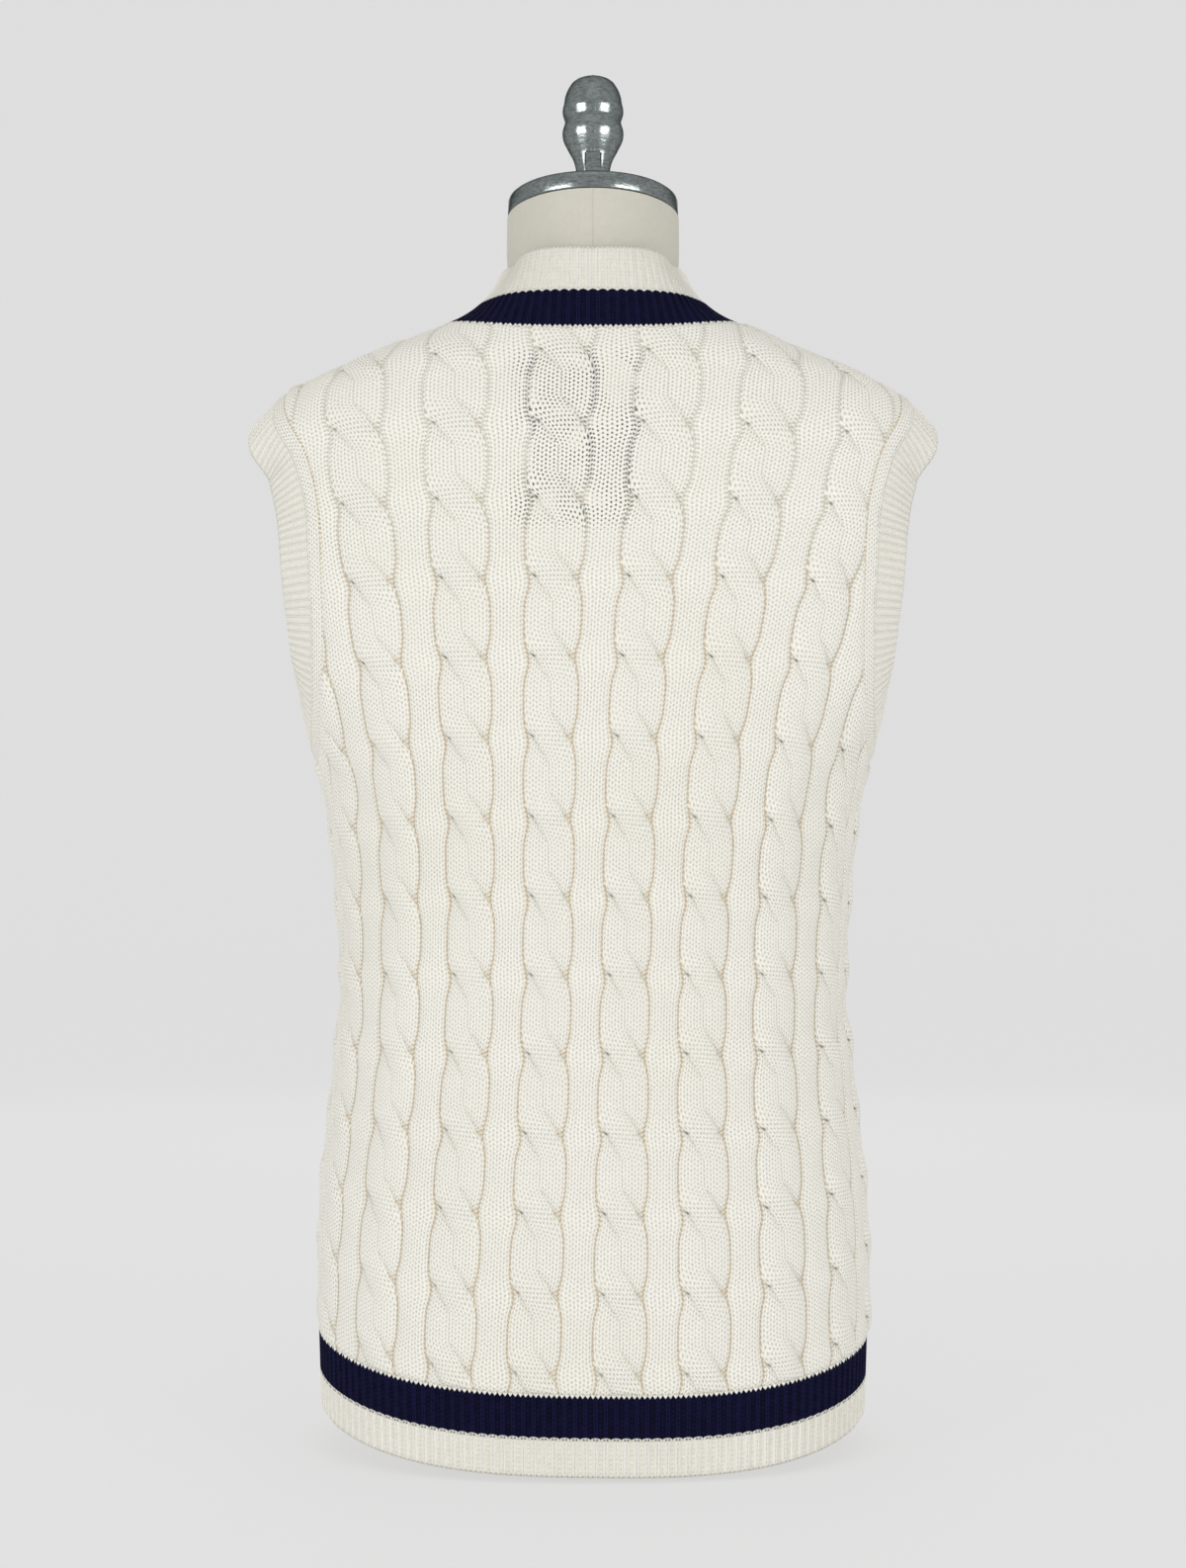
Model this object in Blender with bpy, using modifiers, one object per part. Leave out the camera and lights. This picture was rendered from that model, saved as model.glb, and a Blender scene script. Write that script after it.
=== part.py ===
"""A cable-knit V-neck slipover on a limbless tailor's form.

Metres, +Z up. The front faces -Y and the back +Y. The origin is the centre of the underside of the
form's foot. The cloth's inner face follows horizontal sections, and a point on it is given by its
length along the section from the centre line, its section's height, and front or back.
"""

from functools import lru_cache
from math import atan2, cos, degrees, pi, radians, sin, tan

import bmesh
import bpy
import numpy as np
from mathutils import Matrix, Vector
from mathutils.geometry import delaunay_2d_cdt

TINY = 1e-7
SEAM_GAP = 0.0003
HEM_EDGE = 0.003
HEM_SEAM = 0.050
UNDERARM = 0.414
NECK_POINT = 0.6635
NECK_BACK = 0.6515
NECK_HALF_WIDTH = 0.091
V_POINT = 0.440
V_POINT_INSET = 2.3

# Sections of the cloth's inner face: height, half width, depth behind, depth in front.
BODY = np.array((
    (0.000, 0.1605, 0.1080, 0.1015),
    (0.051, 0.1620, 0.1090, 0.1020),
    (0.145, 0.1600, 0.1060, 0.1015),
    (0.211, 0.1535, 0.1020, 0.1000),
    (0.295, 0.1490, 0.0990, 0.0990),
    (0.331, 0.1510, 0.1020, 0.1020),
    (0.396, 0.1580, 0.1090, 0.1110),
    (0.414, 0.1625, 0.1105, 0.1130),
    (0.437, 0.1740, 0.1120, 0.1155),
    (0.473, 0.1910, 0.1120, 0.1160),
    (0.504, 0.2010, 0.1100, 0.1120),
    (0.540, 0.2070, 0.1070, 0.1040),
    (0.580, 0.2080, 0.1025, 0.0930),
    (0.605, 0.2050, 0.0980, 0.0840),
    (0.6235, 0.1850, 0.0930, 0.0760),
    (0.637, 0.1585, 0.0890, 0.0700),
    (0.6505, 0.1250, 0.0830, 0.0630),
    (0.6635, 0.0910, 0.0755, 0.0550),
    (0.6800, 0.0480, 0.0640, 0.0420),
))
SQUARENESS = 2.4
SECTION_STEPS = 240

# How far the rows of knitting rise from the centre back: height, rise at the sides, at the centre front.
ROW_RISE = np.array((
    (0.000, 0.0195, 0.012),
    (0.060, 0.0195, 0.012),
    (0.240, 0.0020, 0.003),
    (0.420, -0.0090, -0.003),
    (0.500, -0.0060, 0.000),
    (0.600, 0.0000, 0.000),
    (0.680, 0.0000, 0.000),
))
HEM_LEAN = 0.002

# The stitch pattern: height, width of one repeat, shift of the centre panel to the wearer's left.
REPEAT = np.array((
    (0.000, 0.0475, 0.0110),
    (0.066, 0.0477, 0.0094),
    (0.295, 0.0440, 0.0035),
    (0.421, 0.0471, 0.0003),
    (0.500, 0.0519, -0.0040),
    (0.608, 0.0598, -0.0117),
    (0.680, 0.0620, -0.0155),
))
CABLE_PITCH = 0.0446
FIRST_CROSSING = 0.059
CROSSING_HALF = 0.235
PLUMP_HALF = 0.295
STRAND_OFFSET = 0.135
FEATURE_MARGIN = 0.0032

# Which points of a row join which points of the row below: (below, here), by the row's third of a crossing.
ROW_JOINS = {
    0: (("near", "near"), ("far", "far"), ("right", "middle")),
    1: (("near", "near"), ("far", "far"), ("middle", "left")),
    2: (("near", "near"), ("far", "far"), ("left", "left"), ("right", "right")),
}

# The outline's points lie this far apart along the hem, the flank and the shoulder.
HEM_SPACING = 0.0115
FLANK_SPACING = 0.013
SHOULDER_SPACING = 0.009
SEAM_STEPS = 160

# Over the shoulders the cloth turns level, so a step in height is a longer step on it.
SHOULDER_FROM = 0.595
SHOULDER_STRETCH = 1.3

INNER_SPACING = 0.030
INNER_LEVELS = (*np.arange(0.08, 0.58, 0.034), *np.arange(0.59, 0.66, 0.013))
INNER_MARGIN = 0.009

WALL = 0.0020
INNER_INSET = 0.0005
EDGE_RELIEF = 0.0006
PANEL_RELIEF = 0.0013
TOP_STRAND = 0.0038
LOW_STRAND = 0.0021
CROSSING_RELIEF = 0.0042

RIB_PITCH = 0.00574
RIB_WALL = 0.0022
RIB_CREST = 0.0010
HEM_NAVY = 0.0258
NECK_BAND = 0.0560
NECK_NAVY = 0.0275
ARMHOLE_BAND = 0.0260
INNER_STEP = 8

ARMHOLE_CENTRE = 0.5187
ARMHOLE_HALF_HEIGHT = 0.1047
ARMHOLE_BEHIND = 0.0765
ARMHOLE_IN_FRONT = 0.0785
ARMHOLE_SQUARENESS = 2.5

# How far a band stands up from the cloth beside it: the share of its half loop, then the angle in
# degrees at its seam and at its free edge.
NECK_STAND = np.array((
    (0.00, -2, -2),
    (0.35, -2, -2),
    (0.52, -2, 12),
    (0.61, -3, 42),
    (0.68, -6, 54),
    (0.75, -3, 46),
    (0.86, 0, 24),
    (1.00, 2, 10),
))
ARMHOLE_STAND = np.array((
    (0.00, -11, -27),
    (0.25, -6, -24),
    (0.50, -4, -20),
    (0.75, -4, -20),
    (1.00, -3, -16),
))

# The form: height, half width, depth behind, depth in front, squareness.
FORM = np.array((
    (0.0200, 0.1490, 0.0970, 0.0905, 2.35),
    (0.0260, 0.1530, 0.1010, 0.0945, 2.35),
    (0.0700, 0.1560, 0.1035, 0.0970, 2.35),
    (0.1450, 0.1545, 0.1005, 0.0960, 2.35),
    (0.2110, 0.1470, 0.0950, 0.0930, 2.35),
    (0.2950, 0.1400, 0.0900, 0.0905, 2.35),
    (0.3960, 0.1505, 0.1025, 0.1050, 2.35),
    (0.4370, 0.1570, 0.1070, 0.1100, 2.35),
    (0.4850, 0.1630, 0.1070, 0.1095, 2.35),
    (0.5400, 0.1695, 0.1030, 0.0985, 2.35),
    (0.5800, 0.1725, 0.0990, 0.0885, 2.35),
    (0.6030, 0.1725, 0.0950, 0.0805, 2.35),
    (0.6170, 0.1670, 0.0900, 0.0735, 2.35),
    (0.6270, 0.1570, 0.0860, 0.0680, 2.35),
    (0.6360, 0.1410, 0.0825, 0.0635, 2.35),
    (0.6450, 0.1200, 0.0785, 0.0585, 2.30),
    (0.6550, 0.0950, 0.0740, 0.0540, 2.20),
    (0.6660, 0.0740, 0.0685, 0.0485, 2.10),
    (0.6780, 0.0600, 0.0630, 0.0460, 2.00),
    (0.6940, 0.0525, 0.0585, 0.0455, 2.00),
    (0.7160, 0.0522, 0.0570, 0.0468, 2.00),
    (0.7367, 0.0520, 0.0560, 0.0470, 2.00),
))
FORM_SEGMENTS = 12
FORM_NECK_TILT_FROM = 0.694
CAP_TILT = radians(4.0)
NECK_CENTRE = Vector((0.0, 0.0042, 0.0))

FOOT_HALF_WIDTH = 0.135
FOOT_HALF_DEPTH = 0.085
FOOT_HEIGHT = 0.0197

# Turned profiles, top to bottom: radius, height above the neck's top.
CAP_PROFILE = (
    (0.0000, 0.0120), (0.0475, 0.0120), (0.0505, 0.0110), (0.0515, 0.0085), (0.0515, 0.0018),
    (0.0500, 0.0003), (0.0000, 0.0003),
)
FINIAL_PROFILE = (
    (0.0000, 0.0873), (0.0069, 0.0866), (0.0115, 0.0843), (0.0152, 0.0798), (0.0179, 0.0703),
    (0.0186, 0.0660), (0.0172, 0.0595), (0.0186, 0.0536), (0.0183, 0.0493), (0.0156, 0.0433),
    (0.0118, 0.0357), (0.0104, 0.0300), (0.0115, 0.0123), (0.0000, 0.0123),
)

CREAM = (0.80, 0.76, 0.64, 1.0)
NAVY = (0.012, 0.012, 0.055, 1.0)
LINEN = (0.62, 0.58, 0.47, 1.0)
CAST_METAL = (0.26, 0.30, 0.30, 1.0)
BEECH = (0.55, 0.40, 0.25, 1.0)


def curve(table, column):
    """A smooth curve through one column of a table, against its first column."""
    xs, ys = table[:, 0], table[:, column]
    slopes = np.gradient(ys, xs)

    def at(x):
        x = min(max(x, xs[0]), xs[-1])
        i = min(int(np.searchsorted(xs, x, side="right")) - 1, len(xs) - 2)
        span = xs[i + 1] - xs[i]
        t = (x - xs[i]) / span
        rise = (1 + 2 * t) * (1 - t) ** 2 * ys[i] + t * t * (3 - 2 * t) * ys[i + 1]
        lean = t * (1 - t) ** 2 * slopes[i] - t * t * (1 - t) * slopes[i + 1]
        return rise + span * lean

    return at


half_width = curve(BODY, 1)
depths = {False: curve(BODY, 2), True: curve(BODY, 3)}
side_rise = curve(ROW_RISE, 1)
front_rise = curve(ROW_RISE, 2)
repeat_width = curve(REPEAT, 1)
panel_shift = curve(REPEAT, 2)
neck_stand = curve(NECK_STAND, 1), curve(NECK_STAND, 2)
armhole_stand = curve(ARMHOLE_STAND, 1), curve(ARMHOLE_STAND, 2)


@lru_cache(maxsize=None)
def section(height, front):
    """Length along a quarter section from the centre line to the side, with x and depth there."""
    turn = np.linspace(0, pi / 2, SECTION_STEPS)
    x = half_width(height) * np.sin(turn) ** (2 / SQUARENESS)
    depth = depths[front](height) * np.cos(turn) ** (2 / SQUARENESS)
    x[0], depth[-1] = 0, 0
    along = np.concatenate(([0], np.cumsum(np.hypot(np.diff(x), np.diff(depth)))))
    return along, x, depth


def rise(x, depth, height, front):
    """How far the row that starts at this height on the centre back has risen here."""
    round_the_side = (1 - min(depth / depths[front](height), 1) ** 2) ** 1.3
    middle = front_rise(height) if front else 0
    lean = HEM_LEAN * x / half_width(height) * max(side_rise(height), 0) / side_rise(0)
    return middle + (side_rise(height) - middle) * round_the_side + lean


def place(along, height, front):
    """The point of the cloth's inner face."""
    lengths, xs, ds = section(round(height, 6), front)
    x = np.interp(abs(along), lengths, xs) * (1 if along > 0 else -1)
    depth = np.interp(abs(along), lengths, ds)
    return Vector((x, -depth if front else depth, height + rise(x, depth, height, front)))


def outward(point, height):
    """The direction straight out of the cloth at one of its points."""
    step = 0.0005
    depth_at = depths[point.y < 0]
    n = SQUARENESS
    a, b = half_width(height), depth_at(height)
    a_slope = (half_width(height + step) - half_width(height - step)) / (2 * step)
    b_slope = (depth_at(height + step) - depth_at(height - step)) / (2 * step)
    u, v = min(abs(point.x) / a, 1), min(abs(point.y) / b, 1)
    sideways = u ** (n - 1) / a * (1 if point.x > 0 else -1)
    backward = v ** (n - 1) / b * (1 if point.y > 0 else -1)
    up = -(u**n) * a_slope / a - v**n * b_slope / b
    return Vector((sideways, backward, up)).normalized()


def on_section(height, front, x=None, depth=None):
    """Length along the section to the point with this x or this depth."""
    lengths, xs, ds = section(round(height, 6), front)
    if x is not None:
        return float(np.interp(x, xs, lengths))
    return float(np.interp(depth, ds[::-1], lengths[::-1]))


def settle(level, front, depth):
    """(along, height) of the cloth's point at this level and this depth, on the wearer's left."""
    height = level
    for _ in range(6):
        along = on_section(height, front, depth=depth)
        height = level - (place(along, height, front).z - height)
    return along, height


def seam_turns():
    """Angles round half an armhole, from the underarm to the shoulder."""
    return np.linspace(0, pi, SEAM_STEPS * 3 // 2 + 1)


def seam_shares():
    """Shares of half the neck's seam, from its centre to the shoulder, closest together at the shoulder."""
    return np.sin(np.linspace(0, pi / 2, SEAM_STEPS + 1))


def armhole_seam(turn, front, grow=0.0):
    """(along, height) round half an armhole: turn 0 is the underarm and pi the shoulder."""
    power = 2 / ARMHOLE_SQUARENESS
    reach = (ARMHOLE_IN_FRONT if front else ARMHOLE_BEHIND) + grow
    drop = (ARMHOLE_HALF_HEIGHT + grow) * abs(cos(turn)) ** power * (1 if cos(turn) > 0 else -1)
    return settle(ARMHOLE_CENTRE - drop, front, reach * max(sin(turn), 0) ** power)


def neck_seam(share, front, grow=0.0):
    """(along, height) on the neck's seam: share 0 is the centre and 1 the shoulder."""
    if front:
        height = V_POINT + (NECK_POINT - V_POINT - grow) * share
        x = NECK_HALF_WIDTH * (1.18 * share - 0.18 * share**3) + grow * 1.1
        return on_section(height, True, x=min(x, half_width(height))), height
    x = NECK_HALF_WIDTH * share
    height = NECK_BACK + (NECK_POINT - NECK_BACK) * share**3 - grow
    return on_section(height, False, x=min(x, half_width(height))), height


def even(points, spacing):
    """Points at about this spacing along a line of (along, height) points, with both ends."""
    points = np.array(points)
    lengths = np.concatenate(([0], np.cumsum(np.hypot(*np.diff(points, axis=0).T))))
    at = np.linspace(0, lengths[-1], max(int(round(lengths[-1] / spacing)), 1) + 1)
    return [(np.interp(s, lengths, points[:, 0]), np.interp(s, lengths, points[:, 1])) for s in at]


def half_outline(front, inset):
    """The edge of one panel on the wearer's left, from the centre of the hem up to the centre of the neck."""
    def side(height):
        return on_section(height, front, depth=SEAM_GAP / 2), height

    foot = HEM_SEAM + inset
    hem = [(side(foot)[0] * t, foot) for t in np.linspace(0, 1, 30)]
    flank = [side(h) for h in np.linspace(foot, settle(UNDERARM, front, 0)[1] - inset, 20)]
    armhole = [armhole_seam(turn, front, inset) for turn in seam_turns()]
    armhole = [(min(a, side(h)[0]), h) for a, h in armhole]
    neck = [neck_seam(share, front, inset) for share in seam_shares()[::-1]]
    neck = [(min(a, side(h)[0]), h) for a, h in neck]
    shoulder = [side(h) for h in np.linspace(armhole[-1][1], neck[0][1], 12)]
    if front:
        neck.append((0.0, V_POINT - inset * V_POINT_INSET))
    line = []
    runs = (hem, HEM_SPACING), (flank, FLANK_SPACING), (armhole, RIB_PITCH), (shoulder, SHOULDER_SPACING)
    for run, spacing in (*runs, (neck, RIB_PITCH)):
        line += even(run, spacing)[:-1]
    return line + [neck[-1]]


def outline(front, inset):
    """The closed edge of a panel, set in from its seams."""
    half = half_outline(front, inset)
    return half + [(-along, height) for along, height in half[-2:0:-1]]


def inside(points, edge, margin):
    """Which points lie inside a closed outline by at least this margin."""
    points, start = np.array(points), np.array(edge)
    end = np.roll(start, -1, axis=0)
    px, py = points[:, :1], points[:, 1:]
    crosses = (start[:, 1] > py) != (end[:, 1] > py)
    with np.errstate(divide="ignore", invalid="ignore"):
        at = start[:, 0] + (py - start[:, 1]) * (end[:, 0] - start[:, 0]) / (end[:, 1] - start[:, 1])
    within = (crosses & (px < at)).sum(axis=1) % 2 == 1
    run = end - start
    t = ((px - start[:, 0]) * run[:, 0] + (py - start[:, 1]) * run[:, 1]) / (run**2).sum(axis=1)
    t = np.clip(t, 0, 1)
    gap = np.hypot(px - start[:, 0] - t * run[:, 0], py - start[:, 1] - t * run[:, 1]).min(axis=1)
    return within & (gap > margin)


def cable_pattern(front):
    """Points (along, height, relief) of the cables, and the pairs of points that an edge has to join."""
    points, edges = [], []
    viewer_left = -1 if front else 1
    crossings = range(-1, int((NECK_POINT - FIRST_CROSSING) / CABLE_PITCH) + 2)
    for repeat in range(-6, 7):
        below = None
        for step in range(3 * crossings.start, 3 * crossings.stop):
            height = FIRST_CROSSING + CABLE_PITCH * step / 3
            third = step % 3
            half = PLUMP_HALF if third else CROSSING_HALF
            row = {"near": (0.5 - half, 0.0), "far": (0.5 + half, 0.0)}
            if third:
                left, right = (TOP_STRAND, LOW_STRAND) if third == 1 else (LOW_STRAND, TOP_STRAND)
                row["left"] = (0.5 + STRAND_OFFSET * viewer_left, left)
                row["right"] = (0.5 - STRAND_OFFSET * viewer_left, right)
            else:
                row["middle"] = (0.5, CROSSING_RELIEF)
            if third == 0 or height > SHOULDER_FROM:
                row["panel"] = (0.0, PANEL_RELIEF)
            here = {}
            for key, (share, relief) in row.items():
                here[key] = len(points)
                along = panel_shift(height) + repeat_width(height) * (repeat + share)
                points.append((along, height, relief))
            if below:
                edges += [(below[low], here[high]) for low, high in ROW_JOINS[third]]
            below = here
    return points, edges


def triangulate(edge, points, joins):
    """Triangles of a flat outline through its inner points, as indices into edge + points."""
    flat = np.array([p[:2] for p in list(edge) + list(points)])
    flat[:, 1] += SHOULDER_STRETCH * np.clip(flat[:, 1] - SHOULDER_FROM, 0, None)
    loop = [(i, (i + 1) % len(edge)) for i in range(len(edge))]
    found = delaunay_2d_cdt([Vector(p) for p in flat], joins + loop, [], 0, TINY, True)
    source = [ids[0] for ids in found[3]]
    faces = np.array([[source[i] for i in face] for face in found[2]])
    return faces[inside(flat[faces].mean(axis=1), flat[: len(edge)], 0)]


def zip_rim(mesh, outer, inner):
    """Faces between two lines of (share, vertex), both sorted by share from the same start to the same end."""
    i = j = 0
    last_outer, last_inner = len(outer) - 1, len(inner) - 1
    while i < last_outer or j < last_inner:
        if j == last_inner or (i < last_outer and outer[i + 1][0] <= inner[j + 1][0] + TINY):
            mesh.faces.new((outer[i][1], outer[i + 1][1], inner[j][1]))
            i += 1
        else:
            mesh.faces.new((outer[i][1], inner[j + 1][1], inner[j][1]))
            j += 1


def closed(line):
    return line + [(1.0, line[0][1])]


def finish(name, mesh, material, collection):
    bmesh.ops.recalc_face_normals(mesh, faces=mesh.faces)
    if mesh.calc_volume(signed=True) < 0:
        bmesh.ops.reverse_faces(mesh, faces=mesh.faces)
    data = bpy.data.meshes.new(name)
    mesh.to_mesh(data)
    mesh.free()
    data.shade_smooth()
    data.set_sharp_from_angle(angle=radians(40))
    data.materials.append(material)
    made = bpy.data.objects.new(name, data)
    collection.objects.link(made)
    return made


def panel(name, front, material, collection):
    """A front or back: cables raised in the outer face over a plain inner face."""
    edge = outline(front, SEAM_GAP / 2)
    pattern, joins = cable_pattern(front)
    keep = np.flatnonzero(inside([p[:2] for p in pattern], edge, FEATURE_MARGIN))
    number = {int(old): len(edge) + new for new, old in enumerate(keep)}
    points = [pattern[i] for i in keep]
    joins = [(number[a], number[b]) for a, b in joins if a in number and b in number]
    mesh = bmesh.new()
    outer = []
    for along, height, *relief in edge + points:
        at = place(along, height, front)
        lift = WALL + (relief[0] if relief else EDGE_RELIEF)
        outer.append(mesh.verts.new(at + outward(at, height) * lift))
    for face in triangulate(edge, points, joins):
        mesh.faces.new([outer[i] for i in face])
    whole = outline(front, SEAM_GAP / 2 + INNER_INSET)
    corners = corner_indices(whole)
    sparse = [i for i in range(len(whole)) if i % 2 == 0 or i in corners]
    inner_edge = [whole[i] for i in sparse]
    grid = [(INNER_SPACING * i, height) for i in range(-9, 10) for height in INNER_LEVELS]
    inner_points = [p for p, ok in zip(grid, inside(grid, inner_edge, INNER_MARGIN)) if ok]
    inner = [mesh.verts.new(place(along, height, front)) for along, height in inner_edge + inner_points]
    for face in triangulate(inner_edge, inner_points, []):
        mesh.faces.new([inner[i] for i in face])
    outer_line = [(i / len(edge), outer[i]) for i in range(len(edge))]
    inner_line = [(i / len(whole), inner[k]) for k, i in enumerate(sparse)]
    zip_rim(mesh, closed(outer_line), closed(inner_line))
    return finish(name, mesh, material, collection)


def corner_indices(edge):
    """Points where the outline turns sharply."""
    found = set()
    for i, here in enumerate(edge):
        back, ahead = np.subtract(here, edge[i - 1]), np.subtract(edge[(i + 1) % len(edge)], here)
        turn = degrees(atan2(back[0] * ahead[1] - back[1] * ahead[0], np.dot(back, ahead)))
        if abs(turn) > 25:
            found.add(i)
    return found


class Column:
    """One line of knitting across a band: its start, the way it runs on the cloth and the way out there.

    It curls up from the cloth, from one angle at the seam to another at the band's full width.
    """

    def __init__(self, start, across, out, stand, width, crest, sparse):
        self.start, self.across, self.out, self.width = start, across, out, width
        self.stand, self.curl = radians(stand[0]), radians(stand[1] - stand[0] + 0.001) / width
        self.lift, self.sparse, self.limit = RIB_WALL + (RIB_CREST if crest else 0), sparse, 1.0

    def at(self, reach, outer=False):
        reach = min(reach, self.limit)
        angle = self.stand + self.curl * reach
        forward = (sin(angle) - sin(self.stand)) / self.curl
        upward = (cos(self.stand) - cos(angle)) / self.curl
        point = self.start + self.across * forward + self.out * upward
        if outer:
            point += (self.out * cos(angle) - self.across * sin(angle)) * self.lift
        if reach >= self.limit:
            point.x = 0
        return point

    def end_at_the_middle(self):
        """Ends the line where it meets the middle plane."""
        near, far = 0.0, 2 * self.width
        for _ in range(40):
            middle = (near + far) / 2
            near, far = (middle, far) if self.at(middle).x > 0 else (near, middle)
        self.limit = near


def band(name, columns, low, high, material, collection, shape="open"):
    """A ribbed strip across the columns, from low to high: crests and troughs outside, plain inside.

    Its shape is open, ring, or half: a half is open at the middle plane and mirrored there.
    """
    mesh = bmesh.new()
    columns = [column for column in columns if column.limit >= low - TINY]
    lines = {}
    for outer in (True, False):
        picked = [i for i, column in enumerate(columns) if outer or column.sparse]
        lows, highs = [], []
        for i in picked:
            column = columns[i]
            lows.append((i, mesh.verts.new(column.at(low, outer))))
            point = column.limit < low + TINY
            highs.append((i, lows[-1][1] if point else mesh.verts.new(column.at(high, outer))))
        if shape == "ring":
            lows.append((len(columns), lows[0][1]))
            highs.append((len(columns), highs[0][1]))
        for k in range(len(lows) - 1):
            corners = [lows[k][1], lows[k + 1][1], highs[k + 1][1], highs[k][1]]
            mesh.faces.new(list(dict.fromkeys(corners)))
        lines[outer] = lows, [(i, v) for i, v in highs if columns[i % len(columns)].limit >= high - TINY]
    for end in (0, 1):
        zip_rim(mesh, lines[True][end], lines[False][end])
    if shape == "open":
        (outer_low, outer_high), (inner_low, inner_high) = lines[True], lines[False]
        for k in (0, -1):
            mesh.faces.new([line[k][1] for line in (outer_low, outer_high, inner_high, inner_low)])
    made = finish(name, mesh, material, collection)
    if shape == "half":
        mirror = made.modifiers.new("Mirror", "MIRROR")
        mirror.merge_threshold = 1e-5
    return made


def hem_columns(front):
    """Lines of the hem rib from side seam to side seam, each running down."""
    half = on_section(HEM_SEAM, front, depth=SEAM_GAP / 2)
    half_below = on_section(HEM_EDGE, front, depth=SEAM_GAP / 2)
    count = 2 * round(half * 2 / RIB_PITCH) + 1
    columns = []
    for i, share in enumerate(np.linspace(-1, 1, count)):
        start = place(half * share, HEM_SEAM, front)
        run = (place(half_below * share, HEM_EDGE, front) - start).normalized()
        out = outward(start, HEM_SEAM)
        out = (out - run * out.dot(run)).normalized()
        sparse = i % INNER_STEP == 0 or i == count - 1
        columns.append(Column(start, run, out, (0, 0), HEM_SEAM - HEM_EDGE, i % 2 == 0, sparse))
    return columns


class Seam:
    """A line on the cloth, (along, height, front) at points close together, measured by its length."""

    def __init__(self, points):
        self.points = points
        self.places = [place(*point) for point in points]
        steps = [(b - a).length for a, b in zip(self.places, self.places[1:])]
        self.lengths = np.concatenate(([0], np.cumsum(steps)))
        self.length = self.lengths[-1]

    def column(self, length, stand, width, crest, sparse):
        """The line of knitting that starts here and stands up from the cloth by these angles."""
        i = min(int(np.searchsorted(self.lengths, length, side="right")) - 1, len(self.points) - 2)
        t = (length - self.lengths[i]) / (self.lengths[i + 1] - self.lengths[i])
        start = self.places[i].lerp(self.places[i + 1], t)
        height = self.points[i][1] * (1 - t) + self.points[i + 1][1] * t
        low, high = max(i - 1, 0), min(i + 2, len(self.points) - 1)
        tangent = (self.places[high] - self.places[low]).normalized()
        across = outward(start, height).cross(tangent).normalized()
        return Column(start, across, tangent.cross(across).normalized(), stand, width, crest, sparse)


def armhole_columns():
    """Lines of the left armhole rib, round from the underarm, up the back and down the front."""
    back = [(*armhole_seam(turn, False), False) for turn in seam_turns()]
    front = [(*armhole_seam(turn, True), True) for turn in seam_turns()[::-1]]
    seam = Seam(back + front[1:])
    shoulder = seam.lengths[len(back) - 1]
    count = 2 * round(seam.length / RIB_PITCH)
    columns = []
    for i in range(count):
        length = seam.length * i / count
        share = length / shoulder if length < shoulder else (seam.length - length) / (seam.length - shoulder)
        stand = [angle(share) for angle in armhole_stand]
        columns.append(seam.column(length, stand, ARMHOLE_BAND, i % 2 == 0, i % INNER_STEP == 0))
    return columns


def neck_columns(low, high):
    """Lines of the left half of a neck band, from the V's point round to the centre back.

    The first lines end at the middle plane, where the two halves meet in a mitre. A line is added
    where each edge of the band, a distance from the seam, reaches that plane.
    """
    front = [(*neck_seam(share, True), True) for share in seam_shares()]
    back = [(*neck_seam(share, False), False) for share in seam_shares()[::-1]]
    seam = Seam(front + back[1:])

    def column(length, crest=False, sparse=True, limit=None):
        stand = [angle(length / seam.length) for angle in neck_stand]
        made = seam.column(length, stand, NECK_BAND, crest, sparse)
        if length < seam.length / 2:
            made.end_at_the_middle()
        made.limit = limit or made.limit
        return made

    def mitre(reach):
        """Where along the seam the line meets the middle plane at this reach."""
        near, far = 0.0, seam.length / 2
        for _ in range(40):
            middle = (near + far) / 2
            near, far = (near, middle) if column(middle).limit > reach else (middle, far)
        return near

    count = 2 * round(seam.length / RIB_PITCH)
    pitch = seam.length / count
    added = [(mitre(reach), False, True, reach) for reach in (low, high)]
    regular = [(pitch * i, i % 2 == 0, i % INNER_STEP == 0) for i in range(1, count)]
    regular = [entry for entry in regular if all(abs(entry[0] - extra[0]) > pitch / 2 for extra in added)]
    columns = [column(*entry) for entry in sorted(regular + added)]
    return columns + [in_the_middle(column(seam.length))]


def in_the_middle(column):
    """Turns the last line of a half band into the middle plane."""
    for direction in (column.start, column.across, column.out):
        direction.x = 0
    column.across.normalize()
    column.out.normalize()
    return column


def mirrored(made, name):
    """A copy on the wearer's other side."""
    copy = made.copy()
    copy.data = made.data.copy()
    copy.data.transform(Matrix.Diagonal((-1, 1, 1, 1)))
    copy.data.flip_normals()
    copy.name = name
    copy.data.name = name
    made.users_collection[0].objects.link(copy)
    return copy


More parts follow.
